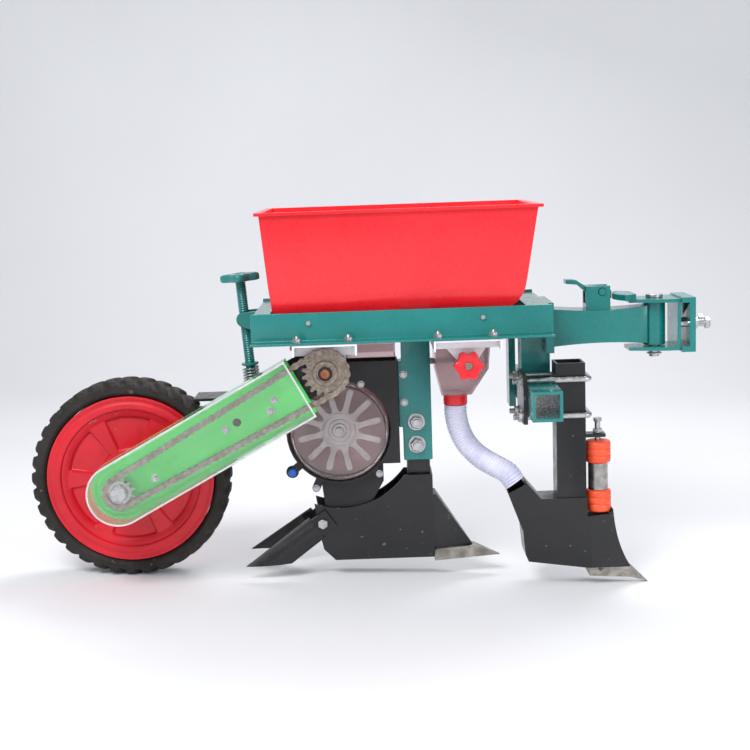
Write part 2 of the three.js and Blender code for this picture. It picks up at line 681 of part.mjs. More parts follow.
// ---------- fertilizer metering ----------
function bowlSolid(inset, extra) {
  const top = -tray.height - gap + extra;
  return sidePlate(outline([
    [fert.topX - fert.topHalf + inset, top], [fert.topX - fert.topHalf + inset, fert.shoulderZ],
    [fert.outletX - fert.outletHalf + inset, fert.bottomZ + inset],
    [fert.outletX + fert.outletHalf - inset, fert.bottomZ + inset],
    [fert.topX + fert.topHalf - 4 - inset, fert.shoulderZ],
    [fert.topX + fert.topHalf - inset, top],
  ]), fert.y - fert.halfWidth + inset, fert.y + fert.halfWidth - inset);
}

function addFertilizerMeter() {
  const { x, z, y } = fert;
  const mouth = rodZ(collar.radius - collar.wall, fert.outletX, y, fert.bottomZ - 5, fert.bottomZ + 8);
  const bearing = rodY(fert.shaft + running, x, z, y - 60, y + 60);
  add('fertilizer_bowl', cut(bowlSolid(0, 0), bowlSolid(fert.wall, 1), mouth, bearing), smoke);

  const half = fert.halfWidth - 6;
  const flutes = sidePlate(star(fert.roller, 8, 3, 6), y - half, y + half).translate(x, 0, z);
  add('fluted_roller', cut(flutes, rodY(fert.shaft + gap, x, z, y - 60, y + 60)), redPlastic);
  add('fertilizer_shaft', join(
    rodY(fert.shaft, x, z, hubPlate.y + 1, feedChainY + 10),
    ...toothedWheel(fertTeeth, fert.shaft, [x, z], feedChainY),
  ), rawSteel);
  add('feed_chain', chainLoop(inputAxis, fertTeeth, [x, z], fertTeeth, feedChainY), chainSteel);

  const top = fert.bottomZ - gap;
  const ring = (r, z0, z1) => rodZ(r, fert.outletX, y, z0, z1, 28);
  add('outlet_collar', cut(
    join(ring(collar.radius, top - collar.height, top), ring(collar.radius + 3, top - 6, top)),
    ring(collar.radius - collar.wall, top - collar.height - 1, top + 1),
  ), redPlastic);
}

function addRateKnob() {
  const { x, z } = fert;
  const y0 = hubPlate.y;
  const knobFar = fertKnob.nearY + fertKnob.thickness;
  const head = sidePlate(star(fertKnob.radius, fertKnob.lobes, 2.5), fertKnob.nearY, knobFar);
  const neck = rodY(fertKnob.stub + 5, 0, 0, knobFar - 0.01, y0 - running);
  add('rate_knob', join(head, neck).translate(x, 0, z), redPlastic);
}

function addHose() {
  const points = hosePoints.map(([x, y, z]) => new THREE.Vector3(x, y, z));
  const outer = tubeAlong(points, hose.radius, 12, 15);
  const ends = [points[0], points[points.length - 1]];
  const next = [points[1], points[points.length - 2]];
  const longer = ends.map((p, i) => p.clone().add(p.clone().sub(next[i]).setLength(4)));
  const innerPoints = [longer[0], ...points.slice(1, -1), longer[1]];
  const inner = tubeAlong(innerPoints, hose.radius - hose.wall, 12, 17);
  add('delivery_hose', cut(outer, inner), hoseGrey);
}

// ---------- rear leg, seed boot and covering shares ----------
function bootOutline(inset) {
  const r = meter.radius + boot.arch;
  const front = legTube.x + shank.size / 2 + gap + boot.wall - inset;
  const rear = boot.rearX - 2 * inset;
  const start = Math.atan2(boot.shoulderZ - meter.z, Math.sqrt(r * r - (boot.shoulderZ - meter.z) ** 2));
  const shape = new THREE.Shape();
  shape.moveTo(front, boot.shoulderZ + 2 * inset);
  shape.lineTo(meter.x + r * Math.cos(start), boot.shoulderZ + 2 * inset);
  const end = -Math.acos((rear - meter.x) / r);
  shape.absarc(meter.x, meter.z, r - 2 * inset, start, end, true);
  shape.lineTo(rear + 8, boot.bottomZ + 46);
  shape.lineTo(rear + 14, boot.bottomZ + 20 - 3 * inset);
  shape.lineTo(rear + 34, boot.bottomZ - 2 * inset);
  shape.lineTo(front, boot.bottomZ - 2 * inset);
  return shape;
}

function addRearLeg() {
  const { x, size, wall, drop } = legTube;
  const h = size / 2;
  const meterPad = box(meterBox.frontX + gap, x - h + 1, -h, 12, meterBox.bottom + 60, meterBox.top - 4);
  const leg = squareTubeZ(x, 0, size, wall, -drop, 3);
  add('rear_leg', join(crossMember(x - h, x + h), leg, meterPad), teal);
}

function addBoot() {
  const body = sidePlate(bootOutline(0), -boot.half, boot.half);
  const inside = boot.half - boot.wall;
  const hollow = sidePlate(bootOutline(boot.wall), -inside, inside);
  const boltHole = rodY(coverer.bolt + running, coverer.pivotX, coverer.pivotZ, -60, 60, 16);
  const s = shank.size / 2;
  const foot = boot.bottomZ + 4;
  const post = box(legTube.x - s, legTube.x + s, -s, s, foot, shank.top);
  const fill = inside + 1;
  const weld = box(legTube.x - s + 2, legTube.x + s + 1, -fill, fill, foot, boot.shoulderZ - 4);
  const x0 = legTube.x + s + boot.wall - 0.5;
  const joinZ = boot.bottomZ + 13;
  const knee = wedge([
    [x0, joinZ + gap], [x0 + brace.length, joinZ + gap],
    [x0 + 6, joinZ + brace.height], [x0, joinZ + brace.height],
  ], x0, brace.length, brace.halfWidth, brace.nose);
  add('seed_boot', join(cut(body, hollow, boltHole), post, weld, knee), blackPaint);
}

function wedge(sidePoints, rearX, length, halfWidth, nose, y = 0) {
  const tip = rearX + length;
  const top = outline([
    [rearX, y - halfWidth], [tip, y - nose], [tip, y + nose], [rearX, y + halfWidth],
  ]);
  return common(sidePlate(outline(sidePoints), y - 60, y + 60), flatPlate(top, -600, 0));
}

function addRearShare() {
  const x0 = legTube.x + shank.size / 2 + 2 * gap + boot.wall;
  const joinZ = boot.bottomZ + 13;
  add('rear_share', wedge([
    [x0, joinZ], [x0, joinZ - share.height], [x0 + share.length, joinZ - share.height],
    [x0 + share.flat, joinZ],
  ], x0, share.length, share.halfWidth, 3), rawSteel);
}

function covererBlade(side) {
  const { length, height, thickness, bend, splay, dip, plate } = coverer;
  const half = Math.asin(height / 2 / bend);
  const shape = new THREE.Shape();
  shape.absarc(-bend * Math.cos(half), 0, bend, -half, half, false);
  shape.absarc(-bend * Math.cos(half), 0, bend - thickness, half, -half, true);
  const start = 14;
  const blade = new THREE.ExtrudeGeometry(shape, { depth: length, bevelEnabled: false, curveSegments: 8 })
    .translate(0, 0, side > 0 ? -length - start : start);
  const basis = new THREE.Matrix4().makeBasis(
    new THREE.Vector3(0, side, 0), new THREE.Vector3(0, 0, 1), new THREE.Vector3(side, 0, 0),
  );
  blade.applyMatrix4(basis).rotateZ(-side * splay);
  const y0 = Math.min(side * 0.01, side * thickness * 1.4);
  const lug = box(-start - 22, plate / 2, y0, y0 + thickness * 1.4, -plate / 2, plate / 2);
  return join(blade, lug).rotateY(-dip)
    .translate(coverer.pivotX, side * (boot.half + 2 * running), coverer.pivotZ);
}

function addCoverers() {
  for (const [name, side] of [['near_covering_share', -1], ['far_covering_share', 1]]) {
    const below = box(-400, 200, -200, 200, coverer.ground - 200, coverer.ground);
    const { pivotX: x, pivotZ: z, bolt } = coverer;
    add(name, cut(covererBlade(side), below, rodY(bolt + running, x, z, -80, 80, 16)), blackPaint);
  }
  const y = boot.half + 7;
  const { pivotX: x, pivotZ: z, bolt } = coverer;
  add('coverer_bolt', join(
    rodY(bolt, x, z, -y, y, 16), rodY(9, x, z, -y - 6, -y, 6), rodY(9, x, z, y, y + 6, 6),
  ), zinc);
}

// ---------- toolbar, clamp and fertilizer opener ----------
function addToolbar() {
  const { x, z, size, wall, nearY, farY } = toolbar;
  const h = size / 2;
  const i = h - wall;
  const bar = cut(
    box(x - h, x + h, nearY, farY, z - h, z + h), box(x - i, x + i, nearY - 1, farY + 1, z - i, z + i),
  );
  const reach = hanger.size / 2;
  const near = box(x - reach, x + reach, hanger.y - reach, hanger.y + reach, z + h - 1, 3);
  const rear = x - h + 0.5;
  const far = box(rear - farHanger.thickness, rear, farHanger.y - farHanger.width / 2,
    farHanger.y + farHanger.width / 2 - 14, farHanger.bottom, 40);
  const flange = box(rail.length - 1, drawbar.rearX - gap, -60, 60, -42, 44);
  const pad = box(rail.length - 2, rail.length, -hanger.y, hanger.y, 4, 44);
  add('toolbar_frame', join(crossMember(x - h, rail.length - gap), bar, near, far, flange, pad), teal);
}

function addClamp() {
  const { z, size } = toolbar;
  const rear = toolbar.x - size / 2 - gap;
  const front = frontShankX() + frontShank.size / 2 + ubolt.clearance + ubolt.radius;
  const legY = frontShank.size / 2 + ubolt.clearance + ubolt.radius;
  const plateRear = rear - clampPlate.thickness;
  const y = frontShank.y;
  const w = clampPlate.width / 2;
  const rise = size / 2 + ubolt.clearance + ubolt.radius;
  const holes = [];
  for (const [name, dz] of [['ubolt_upper', rise], ['ubolt_lower', -rise]]) {
    const leg = (side) => rodX(ubolt.radius, y + side * legY, z + dz, plateRear - 16, front - 8, 8);
    const nutOn = (side) => rodX(9, y + side * legY, z + dz, plateRear - 9, plateRear - gap, 6);
    const corner = (side) => tubeAlong([
      new THREE.Vector3(front - 8.01, y + side * legY, z + dz),
      new THREE.Vector3(front - 2, y + side * (legY - 2.4), z + dz),
      new THREE.Vector3(front, y + side * (legY - 8), z + dz),
    ], ubolt.radius, 8, 4);
    const bridge = rodY(ubolt.radius, front, z + dz, y - legY + 7.9, y + legY - 7.9, 8);
    add(name, join(leg(-1), leg(1), nutOn(-1), nutOn(1), corner(-1), corner(1), bridge), zinc);
    for (const side of [-1, 1]) {
      holes.push(rodX(ubolt.radius + running, y + side * legY, z + dz, plateRear - 2, rear + 2, 12));
    }
  }
  const h = clampPlate.height / 2;
  add('clamp_plate', cut(box(plateRear, rear, y - w, y + w, z - h, z + h), ...holes), blackPaint);
}

function frontShankX() {
  return toolbar.x + toolbar.size / 2 + 0.5 + frontShank.size / 2;
}

function frontBootOutline(cutAway) {
  const rear = toolbar.x - 59;
  const front = frontShankX() + frontShank.size / 2;
  const shelf = roller.top - roller.length - 3;
  const top = frontBoot.top;
  if (cutAway) {
    return outline([
      [rear - 12, top + 16], [rear + 21, top + 33], [rear + 53, top - frontBoot.wall],
      [front - 6, top - frontBoot.wall], [front - 6, top - 105], [rear + 60, top - 140],
      [rear + 10, top - 140], [rear + 31, top - 100], [rear + 27, top - 56], [rear + 4, top + 9],
    ]);
  }
  const shape = new THREE.Shape();
  shape.moveTo(rear, top + 11);
  shape.lineTo(rear + 33, top + 28);
  shape.lineTo(rear + 56, top);
  shape.lineTo(front + 0.5, top);
  shape.lineTo(front + 0.5, shelf);
  shape.lineTo(front + 40, shelf);
  shape.lineTo(front + 47, shelf + 8);
  shape.quadraticCurveTo(front + 52, top - 88, front + 78, top - 130);
  shape.lineTo(front - 4, top - 124);
  shape.lineTo(rear + 33, top - 110);
  shape.lineTo(rear + 28, top - 98);
  shape.lineTo(rear + 24, top - 55);
  return shape;
}

function addFrontOpener() {
  const x = frontShankX();
  const { y, size, wall, top, bottom } = frontShank;
  const post = squareTubeZ(x, y, size, wall, bottom, top);
  const half = frontBoot.half;
  const inside = half - frontBoot.wall;
  const body = common(
    sidePlate(frontBootOutline(false), y - half, y + half),
    flatPlate(outline([
      [x - 200, y - half], [x + 32, y - half], [x + 110, y - 6], [x + 110, y + 6], [x + 32, y + half],
      [x - 200, y + half],
    ]), -600, 0),
  );
  const shell = cut(body, sidePlate(frontBootOutline(true), y - inside, y + inside));
  add('front_opener', join(shell, post, rollerTab()), blackPaint);

  const x0 = x + size / 2 - 4;
  const z0 = frontBoot.top - 124 - gap;
  add('front_share', wedge([
    [x0, z0], [x0 + 8, z0 - 16], [x0 + 84, z0 - 26], [x0 + 114, z0 - 37], [x0 + 84, z0 - 7],
  ], x0, 114, frontShare.halfWidth, 3, y), rawSteel);
}

function rollerX() {
  return frontShankX() + frontShank.size / 2 + roller.capRadius + roller.gap;
}

function rollerTab() {
  const x = rollerX();
  const { y } = frontShank;
  const tabZ = roller.top + 7;
  const face = frontShankX() + frontShank.size / 2 - 1;
  return cut(
    box(face, x + 12, y - 12, y + 12, tabZ, tabZ + roller.tab),
    rodZ(roller.bolt + gap, x, y, tabZ - 1, tabZ + roller.tab + 1, 16),
  );
}

function addRoller() {
  const x = rollerX();
  const { y } = frontShank;
  const { top, length, cap, bolt, capRadius, radius } = roller;
  const bottom = top - length;
  const bore = (z0, z1) => rodZ(bolt + running, x, y, z0, z1, 16);
  const tube = rodZ(radius, x, y, bottom + cap + gap, top - cap - gap, 24);
  add('roller_tube', cut(tube, bore(bottom, top)), rawSteel);
  const capRing = (z0, z1, bevelLow, bevelHigh) => new THREE.LatheGeometry([
    [bolt + running, z0], [capRadius - bevelLow, z0], [capRadius, z0 + bevelLow],
    [capRadius, z1 - bevelHigh], [capRadius - bevelHigh, z1], [bolt + running, z1], [bolt + running, z0],
  ].map(([r, z]) => new THREE.Vector2(r, z)), 24).rotateX(Math.PI / 2).translate(x, y, 0);
  add('roller_cap_upper', capRing(top - cap, top, 0.5, 5), orange);
  add('roller_cap_lower', capRing(bottom, bottom + cap, 5, 0.5), orange);
  const upper = top + 7 + roller.tab + gap;
  add('roller_bolt', join(
    rodZ(bolt, x, y, bottom - 2, upper + 26, 16), rodZ(9, x, y, upper, upper + 7, 6),
    rodZ(8, x, y, upper + 20, upper + 26, 6),
  ), zinc);
}

// ---------- drawbar and hitch ----------
function addDrawbar() {
  const { rearX, height, width, waist, centreZ: z } = drawbar;
  const front = kingpin.x - kingpin.boss + 4;
  const mid = (rearX + front) / 2;
  const side = new THREE.Shape();
  side.moveTo(rearX, z - height / 2);
  side.quadraticCurveTo(mid, z - waist / 2 + 4, front, z - height / 2);
  side.lineTo(front, z + height / 2);
  side.quadraticCurveTo(mid, z + waist / 2 - 4, rearX, z + height / 2);
  const plan = new THREE.Shape();
  plan.moveTo(rearX, -width / 2);
  plan.quadraticCurveTo(mid, -width / 2 - 8, front, -kingpin.boss);
  plan.lineTo(front, kingpin.boss);
  plan.quadraticCurveTo(mid, width / 2 + 8, rearX, width / 2);
  const barrel = common(sidePlate(side, -60, 60), flatPlate(plan, -100, 100));
  const boss = rodZ(kingpin.boss, kingpin.x, 0, z - height / 2 - 4, z + height / 2 + 4, 32);
  const bore = rodZ(kingpin.pin + running, kingpin.x, 0, -100, 100, 24);
  add('drawbar', join(cut(join(barrel, boss), bore), latchBracket()), teal);
}

// the bracket on the drawbar that the latch lever turns in
function latchBracket() {
  const { rearX, frontX, half, pivotX, pivotZ, pin } = latch;
  const bottom = drawbar.centreZ + drawbar.waist / 2 - 6;
  const block = box(rearX, frontX, -half, half, bottom, pivotZ + 8);
  const slotFloor = drawbar.centreZ + drawbar.height / 2 + 6;
  const slot = box(rearX - 1, frontX + 1, -half + 6, half - 6, slotFloor, pivotZ + 9);
  return cut(block, slot, rodY(pin + running, pivotX, pivotZ - 2, -half - 1, half + 1, 16));
}

function addLatch() {
  const { half, pivotX, pivotZ, pin } = latch;
  const inside = half - 6 - running;
  const pawl = kingpin.x - sector.radius - latch.pawlClearance;
  const lever = sidePlate(outline([
    [pivotX - 62, pivotZ + 20], [pivotX - 44, pivotZ + 19], [pivotX - 28, pivotZ + 8],
    [pivotX + 4, pivotZ + 7], [pawl, pivotZ - 1], [pawl, pivotZ - 14], [pawl - 6, pivotZ - 14],
    [pivotX - 8, pivotZ - 9], [pivotX - 26, pivotZ - 4], [pivotX - 42, pivotZ + 11],
    [pivotX - 62, pivotZ + 13],
  ]), -inside, inside);
  add('latch_lever', join(lever, rodY(pin, pivotX, pivotZ - 2, -half - 3, half + 3, 16)), teal);
}

function toothSector() {
  const { radius, thickness, halfAngle, teeth, depth } = sector;
  const limit = THREE.MathUtils.degToRad(halfAngle);
  const inner = radius - 26;
  const root = radius - depth;
  const shape = new THREE.Shape();
  const at = (r, angle) => [kingpin.x - r * Math.cos(angle), r * Math.sin(angle)];
  shape.moveTo(...at(inner, -limit));
  for (let i = 0; i < teeth; i += 1) {
    for (const [part, r] of [[0.1, root], [0.3, radius], [0.6, radius], [0.8, root]]) {
      shape.lineTo(...at(r, -limit + ((i + part) / teeth) * 2 * limit));
    }
  }
  shape.lineTo(...at(inner, limit));
  const z0 = yokeTop() + yoke.plate - 0.5;
  return flatPlate(shape, z0, z0 + thickness);
}

function yokeTop() {
  return drawbar.centreZ + drawbar.height / 2 + 4 + yoke.clearance;
}

function addHitch() {
  const low = drawbar.centreZ - drawbar.height / 2 - 4 - yoke.clearance;
  const top = yokeTop();
  const { plate, frontX, halfWidth } = yoke;
  const fork = (z0) => flatPlate(outline([
    [kingpin.x - 48, -24], [kingpin.x + 10, -halfWidth], [frontX, -halfWidth],
    [frontX, halfWidth], [kingpin.x + 10, halfWidth], [kingpin.x - 48, 24],
  ]), z0, z0 + plate);
  const web = box(frontX - 0.01, frontX + plate, -halfWidth, halfWidth, low - plate, top + plate);
  const pinHole = rodZ(kingpin.pin + gap, kingpin.x, 0, low - 20, top + 20, 24);
  add('hitch_yoke', cut(join(fork(low - plate), fork(top), web, toothSector()), pinHole), teal);
  add('kingpin', join(
    rodZ(kingpin.pin, kingpin.x, 0, low - plate - 14, top + plate + 1, 24),
    rodZ(15, kingpin.x, 0, top + plate + gap, top + plate + 6, 24),
  ), zinc);

  addCouplingPlate(frontX + plate + gap);
}

// the plate that bolts to the tractor, with a lip along its top and bottom edges
function addCouplingPlate(back) {
  const { x, thickness, height, halfWidth } = coupler;
  const z = drawbar.centreZ;
  const low = z - height / 2;
  const high = z + height / 2;
  const front = x + thickness;
  const face = box(x, front, -halfWidth, halfWidth, low, high);
  const lip = (z0) => box(back, x + 0.01, -halfWidth, halfWidth, z0, z0 + 9);
  const hole = (side) => rodX(adjuster.radius + gap, side * adjuster.y, z, x - 1, front + 1);
  add('coupling_plate', cut(join(face, lip(low), lip(high - 9)), hole(-1), hole(1)), teal);
  for (const [name, side] of [['near_adjuster', -1], ['far_adjuster', 1]]) {
    const y = side * adjuster.y;
    const x0 = front + gap;
    const x1 = x0 + adjuster.reach;
    add(name, join(
      rodX(adjuster.radius, y, z, back + 1, x1 - 6), rodX(adjuster.head, y, z, x0, x0 + 8, 6),
      rodX(adjuster.head, y, z, x1 - 8, x1, 6),
    ), zinc);
  }
}

addRails();
addRearCrossbar();
addHopper();
addWheel();
addArm();
addScraper();
addChainCase();
addChainDrive();
addDepthScrew();
addClevis();
addSeedTray();
addFertilizerTray();
addChute();
addSeedMeter();
addSeedWheel();
addFertilizerMeter();
addRateKnob();
addHose();
addRearLeg();
addBoot();
addRearShare();
addCoverers();
addToolbar();
addClamp();
addFrontOpener();
addRoller();
addDrawbar();
addLatch();
addHitch();

machine.position.set(-(coupler.x + coupler.thickness), 0, -drawbar.centreZ);

const planter = new THREE.Group();
planter.add(machine);

export default planter;
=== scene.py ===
# Corn planter for a walking tractor: surfaces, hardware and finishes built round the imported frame.
# Every length is in metres, in the frame's own axes: +X forward to the hitch, +Z up.
import json
import math

import bmesh
import bpy
import numpy as np
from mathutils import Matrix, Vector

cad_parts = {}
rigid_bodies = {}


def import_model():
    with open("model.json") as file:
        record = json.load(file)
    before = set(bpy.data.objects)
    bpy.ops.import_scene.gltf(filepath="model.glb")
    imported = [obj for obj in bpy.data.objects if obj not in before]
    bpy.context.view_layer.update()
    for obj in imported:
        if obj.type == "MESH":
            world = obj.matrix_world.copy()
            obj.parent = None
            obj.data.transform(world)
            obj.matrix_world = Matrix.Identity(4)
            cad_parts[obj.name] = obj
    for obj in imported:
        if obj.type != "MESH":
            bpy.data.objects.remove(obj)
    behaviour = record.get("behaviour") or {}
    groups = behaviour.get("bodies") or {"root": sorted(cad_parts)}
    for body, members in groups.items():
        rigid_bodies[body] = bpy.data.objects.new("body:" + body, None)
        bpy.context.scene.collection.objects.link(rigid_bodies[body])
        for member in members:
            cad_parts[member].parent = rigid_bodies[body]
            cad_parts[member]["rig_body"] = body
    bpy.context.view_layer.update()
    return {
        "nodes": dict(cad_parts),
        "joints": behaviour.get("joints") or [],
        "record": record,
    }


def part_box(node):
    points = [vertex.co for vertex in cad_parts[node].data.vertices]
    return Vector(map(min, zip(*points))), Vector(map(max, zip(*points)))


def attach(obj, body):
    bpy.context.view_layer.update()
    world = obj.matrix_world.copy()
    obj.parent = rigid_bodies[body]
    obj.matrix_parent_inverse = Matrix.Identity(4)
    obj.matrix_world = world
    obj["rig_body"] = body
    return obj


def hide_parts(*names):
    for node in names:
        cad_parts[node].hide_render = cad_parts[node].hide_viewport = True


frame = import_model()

nodes = frame["nodes"]
pivots = {joint["name"]: np.array(joint["pos_m"]) for joint in frame["joints"] if "pos_m" in joint}
mm = 0.001
full = 2 * math.pi


# the camera looks at the machine's right-hand side, a little from above
viewpoint = dict(place=(-0.551, -2.300, 0.281), pitch=8.8, roll=2.0, lens=63.8, sensor=36.0)


def addCamera():
    # pitched down from the horizon, then rolled about its own line of sight
    data = bpy.data.cameras.new("viewCamera")
    data.lens = viewpoint["lens"]
    data.sensor_width = viewpoint["sensor"]
    data.clip_start = 0.05
    camera = bpy.data.objects.new("viewCamera", data)
    camera.location = viewpoint["place"]
    pitch = math.radians(90 - viewpoint["pitch"])
    camera.rotation_euler = (pitch, 0, 0)
    camera.rotation_euler.rotate_axis("Z", -math.radians(viewpoint["roll"]))
    bpy.context.scene.collection.objects.link(camera)
    bpy.context.scene.camera = camera


addCamera()
bpy.context.scene.view_settings.view_transform = "Standard"


# a shape is (points, [face tables]), and each table is an array of faces with one corner count
def unit(v):
    # v divided by its length
    v = np.asarray(v, float)
    return v / np.linalg.norm(v, axis=-1, keepdims=True)


def crossAxes(axis):
    # two unit directions at right angles to the axis and to each other
    axis = unit(axis)
    helper = np.array([0.0, 0.0, 1.0]) if abs(axis[2]) < 0.9 else np.array([1.0, 0.0, 0.0])
    first = unit(np.cross(helper, axis))
    return first, np.cross(axis, first)


def turnSteps(count):
    # angles at equal steps round a full turn
    return np.arange(count) / count * full


def onArc(t, first, second):
    # cos t * first + sin t * second for every angle
    return np.cos(t)[:, None] * first + np.sin(t)[:, None] * second


def gridShape(points, wrapRows=False, wrapColumns=True, capped=True):
    # points[i, j] is a table of places: each face joins the four neighbours i, i+1 and j, j+1
    rows, columns = points.shape[:2]
    index = np.arange(rows * columns).reshape(rows, columns)
    below = index if wrapRows else index[:-1]
    above = np.roll(index, -1, 0) if wrapRows else index[1:]
    if wrapColumns:
        quads = np.stack([below, np.roll(below, -1, 1), np.roll(above, -1, 1), above], -1)
    else:
        quads = np.stack([below[:, :-1], below[:, 1:], above[:, 1:], above[:, :-1]], -1)
    tables = [quads.reshape(-1, 4)]
    if capped and not wrapRows:
        tables.append(index[:1, ::-1])
        tables.append(index[-1:])
    return points.reshape(-1, 3), tables


def lathe(along, radius, centre, axis, looped=False):
    # point = centre + along * axis + radius(along, t) * (cos t, sin t) across the axis
    around = onArc(turnSteps(radius.shape[1]), *crossAxes(axis))
    points = (np.asarray(centre) + np.asarray(along)[:, None, None] * unit(axis)
              + radius[..., None] * around[None])
    return gridShape(points, wrapRows=looped, capped=not looped)


def revolve(profile, centre, axis, sides, looped=False):
    # a profile of (radius, along), with the same radius all the way round
    profile = np.asarray(profile, float)
    return lathe(profile[:, 1], np.repeat(profile[:, :1], sides, 1), centre, axis, looped)


def ringsAlong(path, across, sides, looped=False):
    # a unit circle at each point of a path: cos t * side(s) + sin t * rise(s)
    if looped:
        tangent = unit(np.roll(path, -1, 0) - np.roll(path, 1, 0))
    else:
        tangent = unit(np.gradient(path, axis=0))
    side = unit(np.cross(tangent, np.asarray(across, float)))
    rise = np.cross(side, tangent)
    t = turnSteps(sides)[None, :, None]
    return np.cos(t) * side[:, None] + np.sin(t) * rise[:, None]


def sweep(path, radius, sides, across=(0, 0, 1), looped=False):
    # a circle carried along a path: point = path(s) + radius(s) * circle(s, t)
    path = np.asarray(path, float)
    radius = np.broadcast_to(np.asarray(radius, float).reshape(-1, 1, 1), (len(path), 1, 1))
    circles = ringsAlong(path, across, sides, looped)
    return gridShape(path[:, None] + radius * circles, wrapRows=looped, capped=not looped)


def lift(flat, depth, plane):
    # sets a flat outline at a depth: plane names the axis that the depth runs along
    a, b = flat[..., 0], flat[..., 1]
    d = np.broadcast_to(depth, a.shape)
    return np.stack({"x": (d, a, b), "y": (a, d, b), "z": (a, b, d)}[plane], -1)


def inset(flat, amount):
    # moves each corner of an outline inwards along the mean of its two edges' normals
    edge = unit(np.roll(flat, -1, 0) - flat)
    normal = np.stack([edge[:, 1], -edge[:, 0]], -1)
    mean = unit(normal + np.roll(normal, 1, 0))
    area = np.sum(flat[:, 0] * np.roll(flat[:, 1], -1) - flat[:, 1] * np.roll(flat[:, 0], -1))
    return flat - mean * amount * np.sign(area)


def plate(flat, plane, low, high, edge=0.0):
    # an outline between two depths, with its rims cut back by edge
    flat = np.asarray(flat, float)
    if edge:
        small = inset(flat, edge)
        layers = [lift(small, low, plane), lift(flat, low + edge, plane),
                  lift(flat, high - edge, plane), lift(small, high, plane)]
    else:
        layers = [lift(flat, low, plane), lift(flat, high, plane)]
    return gridShape(np.stack(layers))


def joined(*shapes):
    # several shapes in one table, with every face's numbers raised by the points before it
    points, tables, start = [], [], 0
    for part, faces in shapes:
        points.append(part)
        tables += [table + start for table in faces]
        start += len(part)
    return np.concatenate(points), tables


def moved(shape, matrices):
    # one copy of the shape for each 4 by 4 matrix, all in one table
    points, tables = shape
    matrices = np.asarray(matrices, float).reshape(-1, 4, 4)
    copies = points @ np.swapaxes(matrices[:, :3, :3], 1, 2) + matrices[:, None, :3, 3]
    start = np.arange(len(matrices)) * len(points)
    return copies.reshape(-1, 3), [
        (table[None] + start[:, None, None]).reshape(-1, table.shape[1]) for table in tables]


def standing(places, direction, turn=0.0):
    # matrices that stand a shape's own z axis along a direction at each place
    axis = unit(direction)
    first, second = crossAxes(axis)
    c, s = math.cos(turn), math.sin(turn)
    places = np.atleast_2d(np.asarray(places, float))
    matrices = np.tile(np.eye(4), (len(places), 1, 1))
    matrices[:, :3, 0] = c * first + s * second
    matrices[:, :3, 1] = c * second - s * first
    matrices[:, :3, 2] = axis
    matrices[:, :3, 3] = places
    return matrices


def stepped(low, high, x):
    # rises smoothly from 0 to 1 between low and high
    t = np.clip((x - low) / (high - low), 0, 1)
    return t * t * (3 - 2 * t)


def asObject(name, mesh, finish, sharp):
    # an object in one finish, smooth except at edges sharper than the angle
    mesh.materials.clear()
    mesh.materials.append(finish)
    mesh.shade_smooth()
    mesh.set_sharp_from_angle(angle=math.radians(sharp))
    piece = bpy.data.objects.new(name, mesh)
    bpy.context.scene.collection.objects.link(piece)
    return piece


def makePiece(name, shape, body, finish, replaces=(), sharp=35, ridesOn=True):
    # a mesh object from a shape, with outward normals
    points, tables = shape
    mesh = bpy.data.meshes.new(name)
    mesh.from_pydata(points.tolist(), [], [face for table in tables for face in table.tolist()])
    work = bmesh.new()
    work.from_mesh(mesh)
    bmesh.ops.recalc_face_normals(work, faces=work.faces)
    work.to_mesh(mesh)
    work.free()
    piece = asObject(name, mesh, finish, sharp)
    if ridesOn:
        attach(piece, body)
    if replaces:
        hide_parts(*replaces)
    return piece


def rounded(node, name, width, finish, sharp=32, segments=2):
    # the CAD node's own solid with its doubled corners merged and its edges rounded
    mesh = nodes[node].data.copy()
    mesh.name = name
    work = bmesh.new()
    work.from_mesh(mesh)
    bmesh.ops.remove_doubles(work, verts=work.verts, dist=2e-6)
    bmesh.ops.dissolve_limit(work, angle_limit=math.radians(0.6), verts=work.verts, edges=work.edges)
    work.to_mesh(mesh)
    work.free()
    piece = asObject(name, mesh, finish, sharp)
    bevel = piece.modifiers.new("edges", "BEVEL")
    bevel.width = width
    bevel.segments = segments
    bevel.limit_method = "ANGLE"
    bevel.angle_limit = math.radians(sharp)
    bevel.harden_normals = True
    bevel.use_clamp_overlap = True
    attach(piece, nodes[node]["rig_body"])
    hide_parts(node)
    return piece


def linear(r, g, b):
    # screen colour c to light: c / 12.92 up to 0.04045, then ((c + 0.055) / 1.055) ^ 2.4
    c = np.array([r, g, b]) / 255
    return (*np.where(c <= 0.04045, c / 12.92, ((c + 0.055) / 1.055) ** 2.4), 1.0)


roughScale, coatRough = 60, 0.06


